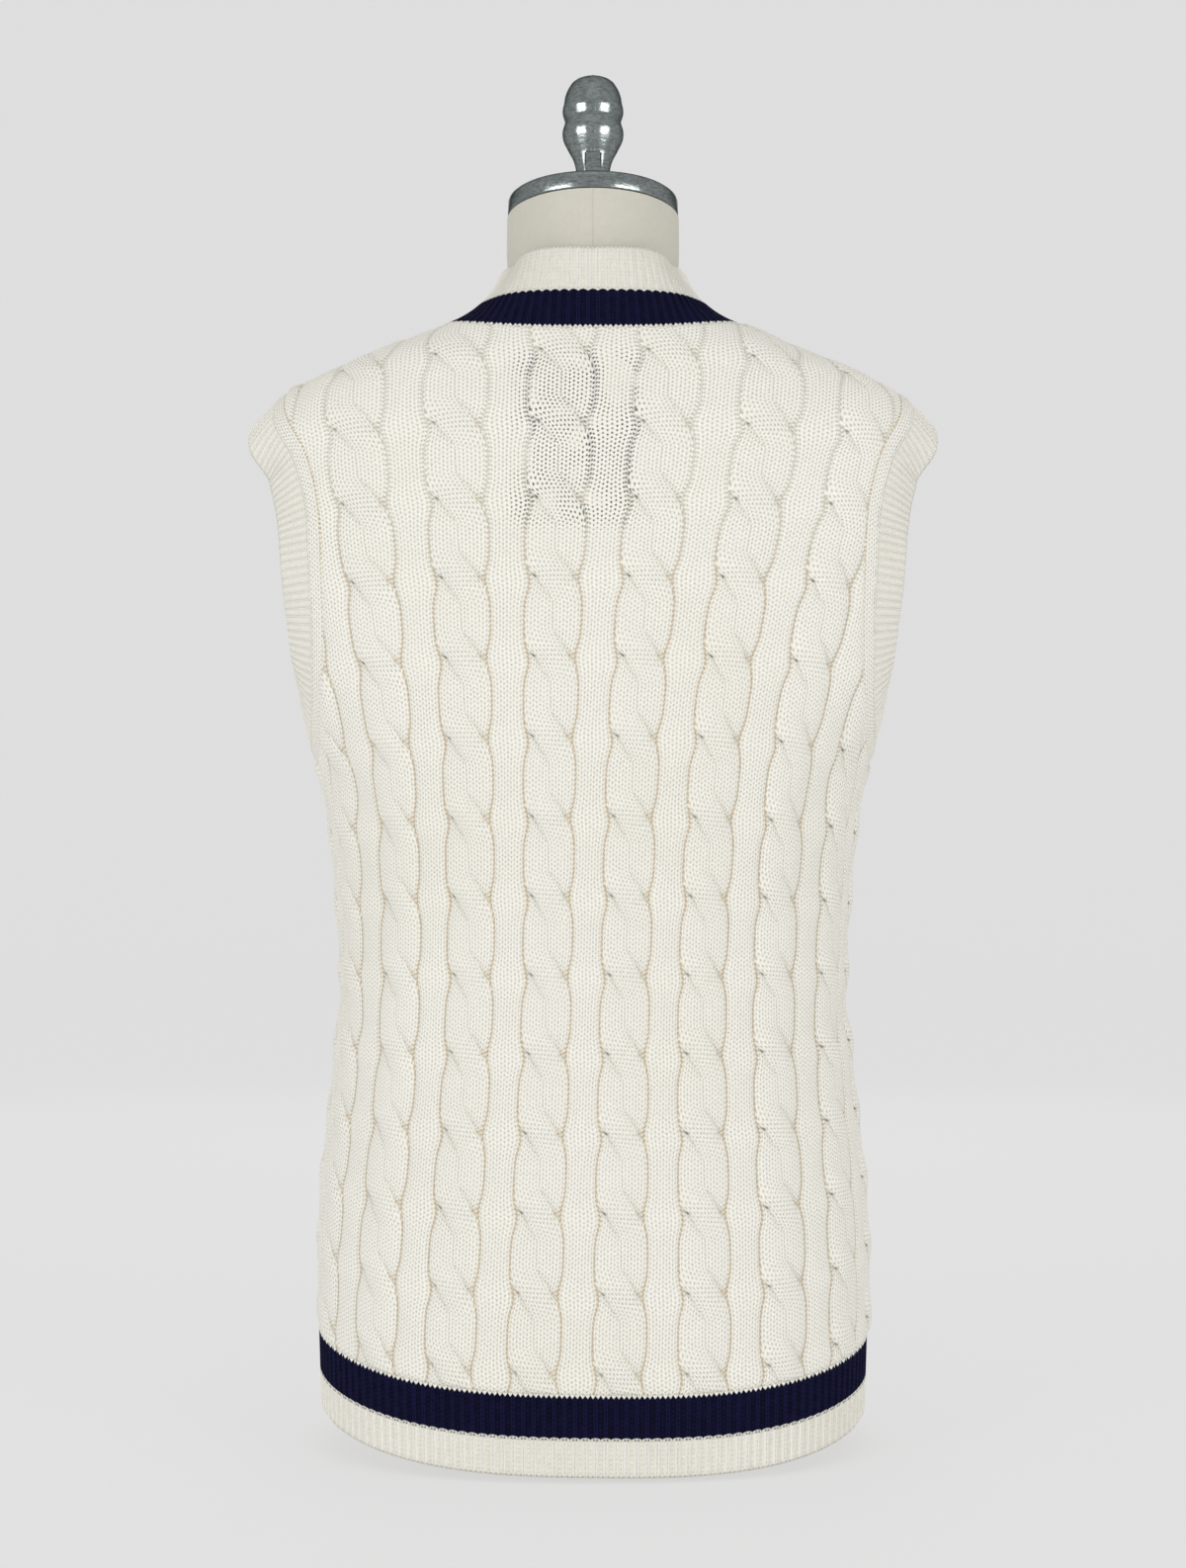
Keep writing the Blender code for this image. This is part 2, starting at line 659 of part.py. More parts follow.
def form_torso(material, collection):
    """The padded torso and neck, lofted through its sections and tilted at the neck's top."""
    mesh = bmesh.new()
    rings = []
    top = FORM[-1][0]
    for height, half, behind, ahead, squareness in FORM:
        tilt = tan(CAP_TILT) * max((height - FORM_NECK_TILT_FROM) / (top - FORM_NECK_TILT_FROM), 0)
        ring = []
        for turn in np.linspace(0, 2 * pi, 2 * FORM_SEGMENTS, endpoint=False):
            power = 2 / squareness
            x = half * abs(sin(turn)) ** power * np.sign(sin(turn))
            y = (behind if cos(turn) > 0 else ahead) * abs(cos(turn)) ** power * np.sign(cos(turn))
            ring.append(mesh.verts.new((x, y, height + (y - NECK_CENTRE.y) * tilt)))
        if rings:
            below = rings[-1]
            for i in range(len(ring)):
                mesh.faces.new((below[i - 1], below[i], ring[i], ring[i - 1]))
        rings.append(ring)
    mesh.faces.new(rings[0])
    mesh.faces.new(rings[-1])
    return finish("form_torso", mesh, material, collection)


def turned(name, profile, steps, material, collection):
    """A turned metal piece on the neck's top."""
    data = bpy.data.meshes.new(name)
    points = [(radius, 0, height) for radius, height in profile]
    data.from_pydata(points, [(i, i + 1) for i in range(len(profile) - 1)], [])
    data.materials.append(material)
    made = bpy.data.objects.new(name, data)
    collection.objects.link(made)
    made.location = NECK_CENTRE + Vector((0, 0, FORM[-1][0]))
    made.rotation_euler = (CAP_TILT, 0, 0)
    screw = made.modifiers.new("Screw", "SCREW")
    screw.steps = screw.render_steps = steps
    screw.use_merge_vertices = True
    screw.merge_threshold = 1e-5
    return made


def foot(material, collection):
    """The oval foot that the form stands on, inside the hem."""
    mesh = bmesh.new()
    bmesh.ops.create_cone(mesh, cap_ends=True, segments=24, radius1=1, radius2=1, depth=FOOT_HEIGHT)
    mesh.transform(Matrix.Diagonal((FOOT_HALF_WIDTH, FOOT_HALF_DEPTH, 1, 1)))
    mesh.transform(Matrix.Translation((0, 0, FOOT_HEIGHT / 2)))
    return finish("form_foot", mesh, material, collection)


def material(name, colour, roughness, metallic=0.0):
    made = bpy.data.materials.new(name)
    made.use_nodes = True
    made.diffuse_color = colour
    shader = made.node_tree.nodes["Principled BSDF"]
    shader.inputs["Base Color"].default_value = colour
    shader.inputs["Roughness"].default_value = roughness
    shader.inputs["Metallic"].default_value = metallic
    return made


def main():
    for thing in list(bpy.data.objects):
        bpy.data.objects.remove(thing)
    parts = bpy.data.collections.new("slipover_on_form")
    bpy.context.scene.collection.children.link(parts)
    cream, navy = material("cream_cotton", CREAM, 0.85), material("navy_cotton", NAVY, 0.8)
    linen, metal = material("linen", LINEN, 0.9), material("cast_metal", CAST_METAL, 0.35, 1.0)
    beech = material("beech", BEECH, 0.6)

    gap = SEAM_GAP / 2
    for front, side in ((False, "back"), (True, "front")):
        panel(f"{side}_panel", front, cream, parts)
        columns = hem_columns(front)
        band(f"hem_rib_{side}_navy", columns, gap, HEM_NAVY - gap, navy, parts)
        band(f"hem_rib_{side}_cream", columns, HEM_NAVY + gap, HEM_SEAM - HEM_EDGE, cream, parts)

    for colour, low, high in ((navy, gap, NECK_NAVY - gap), (cream, NECK_NAVY + gap, NECK_BAND)):
        name = "neck_rib_" + colour.name.split("_")[0]
        band(name, neck_columns(low, high), low, high, colour, parts, "half")

    left = band("armhole_rib_left", armhole_columns(), gap, ARMHOLE_BAND, cream, parts, "ring")
    mirrored(left, "armhole_rib_right")

    form_torso(linen, parts)
    foot(beech, parts)
    turned("neck_cap", CAP_PROFILE, 32, metal, parts)
    turned("finial", FINIAL_PROFILE, 16, metal, parts)


main()
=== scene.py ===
from functools import lru_cache
from math import cos, pi, radians, sin, tan

import bmesh
import bpy
import numpy as np
from mathutils import Matrix, Vector
from mathutils.kdtree import KDTree


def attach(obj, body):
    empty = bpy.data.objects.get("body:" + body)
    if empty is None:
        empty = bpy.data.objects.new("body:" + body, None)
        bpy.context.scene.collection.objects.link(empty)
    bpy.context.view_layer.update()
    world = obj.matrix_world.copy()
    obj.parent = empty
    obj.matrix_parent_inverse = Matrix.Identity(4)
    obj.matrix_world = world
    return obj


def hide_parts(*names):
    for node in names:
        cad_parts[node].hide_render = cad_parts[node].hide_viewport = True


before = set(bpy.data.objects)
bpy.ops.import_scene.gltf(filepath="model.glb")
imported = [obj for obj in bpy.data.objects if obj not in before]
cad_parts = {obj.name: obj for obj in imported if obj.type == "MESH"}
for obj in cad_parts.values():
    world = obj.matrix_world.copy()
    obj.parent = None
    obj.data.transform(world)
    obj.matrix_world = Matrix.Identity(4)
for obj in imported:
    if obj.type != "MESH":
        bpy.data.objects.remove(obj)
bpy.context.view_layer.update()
print("frame loaded:", len(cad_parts), "nodes")

# metres throughout. +Y is the wearer's back, which faces the camera, and +X is the wearer's left

camera = {
    "place": (0.0, 1.40, 0.343),  # level, behind the wearer's back
    "lens": 53.0,
    "shiftUp": 0.055,
}

studio = {
    "paper": (0.17, 0.17, 0.17),
    "paperGlow": (0.735, 0.735, 0.735),  # the floor and wall are lit evenly from all round
    "paperGlowPower": 0.825,
    "sweepWide": 16.0,
    "sweepDeep": 8.0,
    "sweepHigh": 4.0,
    "sweepRound": 1.1,
    "world": (0.952, 0.955, 0.962),
    "worldPower": 0.752,
    # name, place, aim, width, height, power
    "lamps": (
        ("lampLeft", (1.45, 1.55, 0.45), (0.0, 0.0, 0.42), 0.8, 1.1, 11.5),
        ("lampRight", (-1.45, 1.55, 0.45), (0.0, 0.0, 0.42), 0.8, 1.1, 10.0),
        ("lampTop", (0.0, 0.9, 2.0), (0.0, 0.0, 0.45), 1.2, 0.8, 0.5),
        ("lampFront", (0.0, -1.9, 1.3), (0.0, 0.0, 0.45), 1.6, 1.2, 7.0),
    ),
    # one that the metal doesn't mirror
    "fills": (("fillBack", (0.0, 2.3, 0.42), (0.0, 0.0, 0.36), 1.0, 0.8, 3.0),),
    # panes that show only where the metal mirrors them
    "panes": (
        ("paneLeft", (1.35, 1.35, 0.60), (0.0, 0.0, 0.75), 1.15, 1.10, 19.0),
        ("paneRight", (-1.35, 1.35, 0.60), (0.0, 0.0, 0.75), 1.15, 1.10, 19.0),
    ),
}

# how the cloth lies round the form: its inner face in level sections
lie = {
    # height, half width, depth behind, depth ahead
    "sections": np.array((
        (0.000, 0.1605, 0.1080, 0.1015),
        (0.051, 0.1620, 0.1090, 0.1020),
        (0.145, 0.1600, 0.1060, 0.1015),
        (0.211, 0.1535, 0.1020, 0.1000),
        (0.295, 0.1490, 0.0990, 0.0990),
        (0.331, 0.1510, 0.1020, 0.1020),
        (0.396, 0.1580, 0.1090, 0.1110),
        (0.414, 0.1625, 0.1105, 0.1130),
        (0.437, 0.1740, 0.1120, 0.1155),
        (0.473, 0.1910, 0.1120, 0.1160),
        (0.504, 0.2010, 0.1100, 0.1120),
        (0.540, 0.2070, 0.1070, 0.1040),
        (0.580, 0.2080, 0.1025, 0.0930),
        (0.605, 0.2050, 0.0980, 0.0840),
        (0.6235, 0.1850, 0.0930, 0.0760),
        (0.637, 0.1585, 0.0890, 0.0700),
        (0.6505, 0.1250, 0.0830, 0.0630),
        (0.6635, 0.0910, 0.0755, 0.0550),
        (0.6800, 0.0480, 0.0640, 0.0420),
    )),
    "squareness": 2.4,
    "steps": 240,
    # height, how far a row has risen at the sides, and at the centre front
    "rowRise": np.array((
        (0.000, 0.0195, 0.012),
        (0.060, 0.0195, 0.012),
        (0.240, 0.0020, 0.003),
        (0.420, -0.0090, -0.003),
        (0.500, -0.0060, 0.000),
        (0.600, 0.0000, 0.000),
        (0.680, 0.0000, 0.000),
    )),
    "riseCurve": 1.3,
    "lean": 0.002,
    "slopeStep": 0.0005,
}

seams = {
    "gap": 0.00004,
    "hemEdge": 0.003,
    "hemSeam": 0.050,
    "underarm": 0.414,
    "neckPoint": 0.6635,
    "neckBack": 0.6515,
    "neckHalfWidth": 0.091,
    "vPoint": 0.440,
    "vInset": 2.3,  # how many times further in than its sides the V's point moves
    "neckBow": 0.18,
    "neckGrow": 1.1,
    "armholeCentre": 0.5187,
    "armholeHalfHeight": 0.1047,
    "armholeBehind": 0.0765,
    "armholeAhead": 0.0785,
    "armholeSquareness": 2.5,
    "armholeNear": 0.09,  # points this far out can be near it
    "hemSteps": 30,
    "flankSteps": 40,
    "shoulderSteps": 30,
    "armholeSteps": 241,
    "neckSteps": 161,
    "traceStep": 0.0005,
}


def curve(table, column):
    # a smooth curve through one column of a table
    xs, ys = table[:, 0], table[:, column]
    slopes = np.gradient(ys, xs)

    def at(x):
        x = np.clip(x, xs[0], xs[-1])
        i = np.clip(np.searchsorted(xs, x, side="right") - 1, 0, len(xs) - 2)
        span = xs[i + 1] - xs[i]
        t = (x - xs[i]) / span
        level = (1 + 2 * t) * (1 - t) ** 2 * ys[i] + t * t * (3 - 2 * t) * ys[i + 1]
        return level + span * (t * (1 - t) ** 2 * slopes[i] - t * t * (1 - t) * slopes[i + 1])

    return at


halfWidth = curve(lie["sections"], 1)
depthBehind = curve(lie["sections"], 2)
depthAhead = curve(lie["sections"], 3)
sideRise = curve(lie["rowRise"], 1)
frontRise = curve(lie["rowRise"], 2)


def fullDepth(height, front):
    return depthAhead(height) if front else depthBehind(height)


@lru_cache(maxsize=None)
def section(height, front):
    # length from the centre line to the side, with x and depth there
    turn = np.linspace(0, pi / 2, lie["steps"])
    x = halfWidth(height) * np.sin(turn) ** (2 / lie["squareness"])
    depth = fullDepth(height, front) * np.cos(turn) ** (2 / lie["squareness"])
    x[0], depth[-1] = 0, 0
    along = np.concatenate(([0], np.cumsum(np.hypot(np.diff(x), np.diff(depth)))))
    return along, x, depth


def rowRise(x, depth, height, front):
    # how far above its height at the centre back a row of stitches is
    sideways = (1 - np.minimum(depth / fullDepth(height, front), 1) ** 2) ** lie["riseCurve"]
    middle = frontRise(height) if front else 0
    lean = lie["lean"] * x / halfWidth(height) * np.maximum(sideRise(height), 0) / sideRise(0)
    return middle + (sideRise(height) - middle) * sideways + lean


def clothPoints(along, height, front, lift=0.0):
    # points on the cloth, lifted straight out from its inner face, worked out a level at a time
    along, height, lift = np.broadcast_arrays(along, height, lift)
    a, h = np.abs(along).ravel(), height.ravel()
    levels, which = np.unique(np.round(h, 5), return_inverse=True)
    order = np.argsort(which, kind="stable")
    starts = np.searchsorted(which[order], np.arange(len(levels) + 1))
    x, depth = np.empty(len(h)), np.empty(len(h))
    for level, first, last in zip(levels, starts, starts[1:]):
        spots = order[first:last]
        lengths, xs, depths = section(float(level), front)
        x[spots] = np.interp(a[spots], lengths, xs)
        depth[spots] = np.interp(a[spots], lengths, depths)
    x *= np.where(along.ravel() < 0, -1, 1)
    y = -depth if front else depth
    place = np.stack((x, y, h + rowRise(x, depth, h, front)), axis=1)
    place += outward(x, y, h, front) * lift.reshape(-1, 1)
    return place.reshape(*along.shape, 3)


def outward(x, y, height, front):
    # the way straight out of the cloth
    step = lie["slopeStep"]
    n = lie["squareness"]
    a, b = halfWidth(height), fullDepth(height, front)
    aSlope = (halfWidth(height + step) - halfWidth(height - step)) / (2 * step)
    bSlope = (fullDepth(height + step, front) - fullDepth(height - step, front)) / (2 * step)
    u, v = np.minimum(np.abs(x) / a, 1), np.minimum(np.abs(y) / b, 1)
    sideways = u ** (n - 1) / a * np.where(x < 0, -1, 1)
    backward = v ** (n - 1) / b * (-1 if front else 1)
    up = -(u**n) * aSlope / a - v**n * bSlope / b
    out = np.stack(np.broadcast_arrays(sideways, backward, up), axis=-1)
    return out / np.linalg.norm(out, axis=-1, keepdims=True)


def onSection(height, front, x=None, depth=None):
    lengths, xs, depths = section(round(float(height), 5), front)
    if x is not None:
        return float(np.interp(x, xs, lengths))
    return float(np.interp(depth, depths[::-1], lengths[::-1]))


def settle(level, front, depth):
    # (along, height) of the cloth's point at this level and this depth
    height = level
    for _ in range(6):
        along = onSection(height, front, depth=depth)
        height = level - (clothPoints(along, height, front)[2] - height)
    return along, float(height)


def armholeSeam(turn, front, grow=0.0):
    # turn 0 is the underarm and pi the shoulder
    power = 2 / seams["armholeSquareness"]
    reach = (seams["armholeAhead"] if front else seams["armholeBehind"]) + grow
    drop = (seams["armholeHalfHeight"] + grow) * abs(cos(turn)) ** power * (1 if cos(turn) > 0 else -1)
    return settle(seams["armholeCentre"] - drop, front, reach * max(sin(turn), 0) ** power)


def neckSeam(share, front, grow=0.0):
    # share 0 is the centre and 1 the shoulder
    if front:
        height = seams["vPoint"] + (seams["neckPoint"] - seams["vPoint"] - grow) * share
        bow = seams["neckBow"]
        x = seams["neckHalfWidth"] * ((1 + bow) * share - bow * share**3) + grow * seams["neckGrow"]
    else:
        height = seams["neckBack"] + (seams["neckPoint"] - seams["neckBack"]) * share**3 - grow
        x = seams["neckHalfWidth"] * share
    return onSection(height, front, x=min(x, float(halfWidth(height)))), height


def seamTurns():
    return np.linspace(0, pi, seams["armholeSteps"])


def seamShares():
    return np.sin(np.linspace(0, pi / 2, seams["neckSteps"]))


# the stitch pattern: a cable of eight wales, a purl groove, a panel of five wales and a groove
pattern = {
    # height, width of a repeat, how far the centre panel is to the wearer's left
    "repeats": np.array((
        (0.000, 0.0475, 0.0110),
        (0.066, 0.0477, 0.0094),
        (0.295, 0.0440, 0.0035),
        (0.421, 0.0471, 0.0003),
        (0.500, 0.0519, -0.0040),
        (0.608, 0.0598, -0.0117),
        (0.680, 0.0620, -0.0155),
    )),
    "repeatsBeside": 6,  # on each side of the centre, more than the panel is wide
    "cableColumns": 17,
    "crowding": 0.12,  # how much closer the columns are at a cable's edges
    "panelColumns": (0.06, 0.15, 0.26, 0.38, 0.5, 0.62, 0.74, 0.85, 0.94),
    "wale": 0.0033,
    "course": 0.0026,
    "panelWales": 5,
    "pitch": 0.0446,  # from one crossing to the next
    "firstCrossing": 0.059,
    "plump": 0.316,  # half a cable, as a share of the repeat, between crossings
    "nipped": 0.260,  # and at a crossing
    "nipLength": 0.19,
    "nipShift": 0.025,  # how much lower the viewer's left side is nipped, and how much higher the right
    "holeAt": 0.045,  # where the crossing's ends lie, in pitches above it
    "foldStart": 0.29,  # how far below the crossing a fold starts, and how long it is, in pitches
    "foldSpan": 0.45,
    "foldCurve": 1.15,
    "slant": 0.65,
    "wall": 0.0020,
    "cableHigh": 0.0022,
    "sideRound": 0.75,
    "frontStrand": 0.0016,  # how far the strand on top stands up at a crossing
    "frontLong": 0.28,
    "frontRound": 0.6,
    "fold": 0.0015,
    "foldWide": 0.22,
    "hole": 0.0007,
    "holeSize": (0.16, 0.055),
    "panelHigh": 0.0008,
    "panelDome": 0.0007,
    "panelRound": 0.0012,
    "edgeHigh": 0.0006,
    "seamFade": 0.0022,
    "edgeWales": 2.7,
    "edgeBlend": 0.0030,
    "edgeWaleHigh": 0.0009,
    "edgeLadder": 0.0016,
    "edgeLadderDeep": 0.0006,
    "mapStrip": (0.004, 0.008),  # how far under the panel the map holds its rim
    "rowStep": 0.0022,
    "shoulderFrom": 0.575,
    "firstShoulderStep": 0.0016,
    "shoulderStep": 0.0011,
    "slopeFrom": 0.545,
    "flatter": (0.50, 0.61, 0.40),  # the relief grows flatter between these heights, by this share
    # centre and half size of the stretch between the shoulders that is knitted more openly: x, height
    "open": (0.0095, 0.586, 0.043, 0.058),
    "openFade": (0.012, 0.014),
}

repeatWidth = curve(pattern["repeats"], 1)
panelShift = curve(pattern["repeats"], 2)


def cableColumns():
    # each column of the mesh: its repeat, whether it lies on a cable, and where across it
    across = np.linspace(-1, 1, pattern["cableColumns"])
    onCable = (1 + pattern["crowding"]) * across - pattern["crowding"] * across**3
    columns = []
    for repeat in range(-pattern["repeatsBeside"], pattern["repeatsBeside"]):
        columns += [(repeat, 1, q) for q in onCable]
        columns += [(repeat, 0, f) for f in pattern["panelColumns"]]
    return np.array(columns).T


def halfCable(rise, viewerLeft):
    # half a cable's width on one side, as a share of the repeat
    rise = rise + pattern["nipShift"] * viewerLeft
    nip = np.exp(-(((rise - np.round(rise)) / pattern["nipLength"]) ** 2))
    return pattern["plump"] - (pattern["plump"] - pattern["nipped"]) * nip


def columnAlong(columns, height, rise, viewerLeft):
    # the length along the cloth at each column, and half the width of the cable there or beside the panel
    repeat, isCable, across = columns
    plusHalf, minusHalf = halfCable(rise, viewerLeft), halfCable(rise, -viewerLeft)
    half = np.where(across > 0, plusHalf, minusHalf)
    onPanel = 0.5 + plusHalf + across * (1 - plusHalf - minusHalf)
    share = np.where(isCable == 1, 0.5 + half * across, onPanel)
    half = np.where(isCable == 1, half, (plusHalf + minusHalf) / 2)
    return panelShift(height) + repeatWidth(height) * (repeat + share), half


def foldEdges(t):
    # the two edges of the strand that lies on top, from -1 to 1 across the cable, t pitches above a crossing
    low, high = (
        np.clip((s + pattern["foldStart"]) / pattern["foldSpan"], 0, 1) ** pattern["foldCurve"]
        for s in (t, 2 * pattern["holeAt"] - t)
    )
    return low, -high


def cableHeight(across, rise):
    # height over the wall; across runs towards the viewer's left
    t = rise - np.round(rise)
    low, high = foldEdges(t)
    m = np.clip((across - high) / np.maximum(low - high, 0.2), 0, 1)
    onTop = (across <= low) & (across >= high)
    side = (1 - np.abs(across) ** 3) ** pattern["sideRound"]
    near = np.exp(-(((t - pattern["holeAt"]) / pattern["frontLong"]) ** 2))
    ridge = pattern["frontStrand"] * near * (4 * m * (1 - m)) ** pattern["frontRound"]
    behind = np.where(across > low, across - low, high - across)
    strength = np.sqrt(np.where(across > low, low, -high))
    fold = pattern["fold"] * strength * np.exp(-np.maximum(behind, 0) / pattern["foldWide"])
    holeWide, holeLong = pattern["holeSize"]
    hole = np.exp(-(((1 - np.abs(across)) / holeWide) ** 2) - ((t - pattern["holeAt"]) / holeLong) ** 2)
    return side * (pattern["cableHigh"] + np.where(onTop, ridge, -fold)) - pattern["hole"] * hole


# soft troughs in the cloth: centre along, height, half length, half width, lean, depth
troughs = {
    "back": (
        (0.150, 0.395, 0.050, 0.012, 0.9, 0.0022),
        (-0.146, 0.400, 0.046, 0.013, -0.9, 0.0020),
        (0.172, 0.262, 0.040, 0.011, 0.35, 0.0016),
        (-0.170, 0.255, 0.044, 0.012, -0.30, 0.0018),
        (0.120, 0.330, 0.060, 0.016, 0.6, 0.0012),
        (-0.105, 0.322, 0.055, 0.015, -0.65, 0.0012),
        (0.060, 0.628, 0.040, 0.009, -0.2, 0.0008),
    ),
    "front": (
        (0.152, 0.398, 0.048, 0.012, 0.95, 0.0021),
        (-0.150, 0.392, 0.052, 0.013, -0.85, 0.0022),
        (0.168, 0.255, 0.042, 0.012, 0.30, 0.0016),
        (-0.172, 0.262, 0.040, 0.011, -0.38, 0.0017),
        (0.098, 0.318, 0.052, 0.015, 0.55, 0.0012),
        (-0.112, 0.328, 0.058, 0.016, -0.6, 0.0012),
    ),
}


def troughDepth(along, height, side):
    depth = np.zeros_like(along)
    for centre, level, halfLong, halfWide, lean, deep in troughs[side]:
        u = ((along - centre) + (height - level) * lean) / np.hypot(1, lean)
        v = ((height - level) - (along - centre) * lean) / np.hypot(1, lean)
        depth += deep * np.exp(-((u / halfLong) ** 2) - (v / halfWide) ** 2)
    return depth


def sideEdge(height, front):
    # where a panel ends at the side
    return onSection(height, front, depth=seams["gap"] / 2), height


def halfOutline(front, inset):
    # one side's edge, from the centre of the hem up to the centre of the neck
    foot = seams["hemSeam"] + inset
    hem = [(sideEdge(foot, front)[0] * t, foot) for t in np.linspace(0, 1, seams["hemSteps"])]
    top = settle(seams["underarm"], front, 0)[1] - inset
    flank = [sideEdge(h, front) for h in np.linspace(foot, top, seams["flankSteps"])]
    armhole = [armholeSeam(turn, front, inset) for turn in seamTurns()]
    armhole = [(min(a, sideEdge(h, front)[0]), h) for a, h in armhole]
    neck = [neckSeam(share, front, inset) for share in seamShares()[::-1]]
    neck = [(min(a, sideEdge(h, front)[0]), h) for a, h in neck]
    if front:
        neck.append((0.0, seams["vPoint"] - inset * seams["vInset"]))
    tops = np.linspace(armhole[-1][1], neck[0][1], seams["shoulderSteps"])
    shoulder = [sideEdge(h, front) for h in tops]
    line = hem[:-1] + flank[:-1] + armhole[:-1] + shoulder[:-1] + neck
    corners = [hem[-1], armhole[0], armhole[-1], neck[0], neck[-1]]
    return np.array(line), np.array(armhole), np.array(corners)


def scanInside(line, alongs, levels):
    # which points of each level row lie inside the closed outline
    start, end = line, np.roll(line, -1, axis=0)
    within = np.zeros(alongs.shape, bool)
    for row, level in enumerate(levels):
        crossed = (start[:, 1] > level) != (end[:, 1] > level)
        a, b = start[crossed], end[crossed]
        hits = np.sort(a[:, 0] + (level - a[:, 1]) * (b[:, 0] - a[:, 0]) / (b[:, 1] - a[:, 1]))
        within[row] = np.searchsorted(hits, alongs[row]) % 2 == 1
    return within


def nearestOnLine(points, line):
    # each point's nearest one on a closed outline
    start, run = line, np.roll(line, -1, axis=0) - line
    size = np.maximum((run**2).sum(axis=1), 1e-18)
    found = np.empty_like(points)
    for i, point in enumerate(points):
        t = np.clip(((point - start) * run).sum(axis=1) / size, 0, 1)
        near = start + run * t[:, None]
        found[i] = near[np.argmin(((near - point) ** 2).sum(axis=1))]
    return found


def distances(points, line):
    # distance to a line of points in space, and the length along it there
    steps = np.linalg.norm(np.diff(line, axis=0), axis=1)
    lengths = np.concatenate(([0], np.cumsum(steps)))
    at = np.arange(0, lengths[-1], seams["traceStep"])
    fine = np.stack([np.interp(at, lengths, line[:, k]) for k in range(3)], axis=1)
    tree = KDTree(len(fine))
    for i, place in enumerate(fine):
        tree.insert(place, i)
    tree.balance()
    found = [tree.find(p) for p in points]
    return np.array([f[2] for f in found]), np.array([at[f[1]] for f in found])


def smooth(x):
    x = np.clip(x, 0, 1)
    return x * x * (3 - 2 * x)


def newMesh(name, points, faces, finish, attributes, corners=None):
    # attributes have a value for each point, or for each corner of a face; corners are the places of the
    # faces' corners on the map that a bake uses
    data = bpy.data.meshes.new(name)
    data.from_pydata(points.tolist(), [], faces)
    if corners is not None:
        places = corners - corners.min(axis=0)
        places = (places / places.max()).astype(np.float32)
        data.uv_layers.new(name="OFBake").data.foreach_set("uv", places.ravel())
    for key, values in attributes.items():
        made = data.attributes.new(key, "FLOAT_VECTOR", "POINT" if len(values) == len(points) else "CORNER")
        made.data.foreach_set("vector", np.asarray(values, np.float32).ravel())
    data.materials.append(finish)
    data.shade_smooth()
    piece = bpy.data.objects.new(name, data)
    bpy.context.scene.collection.objects.link(piece)
    return piece


def panelGrid(front):
    # the panel's rows, the length along the cloth at each column, and where in the pattern each point is
    low = seams["hemSeam"] + seams["gap"] / 2
    levels = np.arange(low, pattern["shoulderFrom"], pattern["rowStep"])
    finer = np.arange(levels[-1] + pattern["firstShoulderStep"], seams["neckPoint"], pattern["shoulderStep"])
    levels = np.concatenate((levels, finer))
    height = levels[:, None]
    columns = cableColumns()
    rise = (height - pattern["firstCrossing"]) / pattern["pitch"] + 0 * columns[0]
    for _ in range(2):
        along, half = columnAlong(columns, height, rise, -1 if front else 1)
        # crossings are counted along the cloth, which over the shoulders is longer than its height
        plain = clothPoints(along, height + 0 * along, front)
        steps = np.linalg.norm(np.diff(plain, axis=0), axis=2)
        onShoulder = levels[1:, None] > pattern["slopeFrom"]
        over = np.where(onShoulder, steps, np.diff(levels)[:, None])
        length = np.concatenate((np.zeros((1, along.shape[1])), np.cumsum(over, axis=0))) + low
        rise = (length - pattern["firstCrossing"]) / pattern["pitch"]
    return levels, columns, along, rise, half


def trimmed(along, levels, front):
    # the quads inside the panel's outline, with the points round their edge drawn onto the seam line
    line, armhole, corners = halfOutline(front, seams["gap"] / 2)
    mirror = np.array((-1, 1))
    outline = np.concatenate((line, (line * mirror)[-2:0:-1]))
    centres = (along[:-1, :-1] + along[1:, :-1] + along[:-1, 1:] + along[1:, 1:]) / 4
    keep = scanInside(outline, centres, (levels[1:] + levels[:-1]) / 2)
    number = np.arange(along.size).reshape(along.shape)
    quads = np.stack((number[:-1, :-1], number[:-1, 1:], number[1:, 1:], number[1:, :-1]), axis=-1)[keep]
    ends = np.concatenate([np.stack((quads[:, i], quads[:, (i + 1) % 4]), axis=1) for i in range(4)])
    _, first, uses = np.unique(np.sort(ends, axis=1), axis=0, return_index=True, return_counts=True)
    rim = ends[first[uses == 1]]
    edge = np.unique(rim)
    flat = np.stack((along.ravel(), (levels[:, None] + 0 * along).ravel()), axis=1)
    flat[edge] = nearestOnLine(flat[edge], outline)
    for corner in np.concatenate((corners, corners * mirror)):
        flat[edge[np.argmin(((flat[edge] - corner) ** 2).sum(axis=1))]] = corner
    used = np.unique(quads)
    renumber = np.full(along.size, -1)
    renumber[used] = np.arange(len(used))
    return used, renumber[quads], renumber[rim], flat[used], outline, armhole


def besideArmhole(inner, armhole, front):
    # each point's distance from the armhole's seam, and the length along the seam there
    seam = clothPoints(armhole[:, 0], armhole[:, 1], front)
    near = np.abs(inner[:, 0]) > seams["armholeNear"]
    fromArm, roundArm = np.full(len(inner), 1.0), np.zeros(len(inner))
    fromArm[near], roundArm[near] = distances(np.abs(inner[near]) * (1, -1 if front else 1, 1), seam)
    return fromArm, roundArm


def patternHeight(isCable, across, rise, intoPanel, height, viewerLeft):
    # height of the cables and panels over the wall
    dome = pattern["panelDome"] * 4 * across * (1 - across)
    panelHigh = (pattern["panelHigh"] + dome) * (1 - np.exp(-((intoPanel / pattern["panelRound"]) ** 2)))
    high = np.where(isCable, cableHeight(across * viewerLeft, rise), panelHigh)
    lowest, highest, share = pattern["flatter"]
    return high * (1 - share * smooth((height - lowest) / (highest - lowest)))


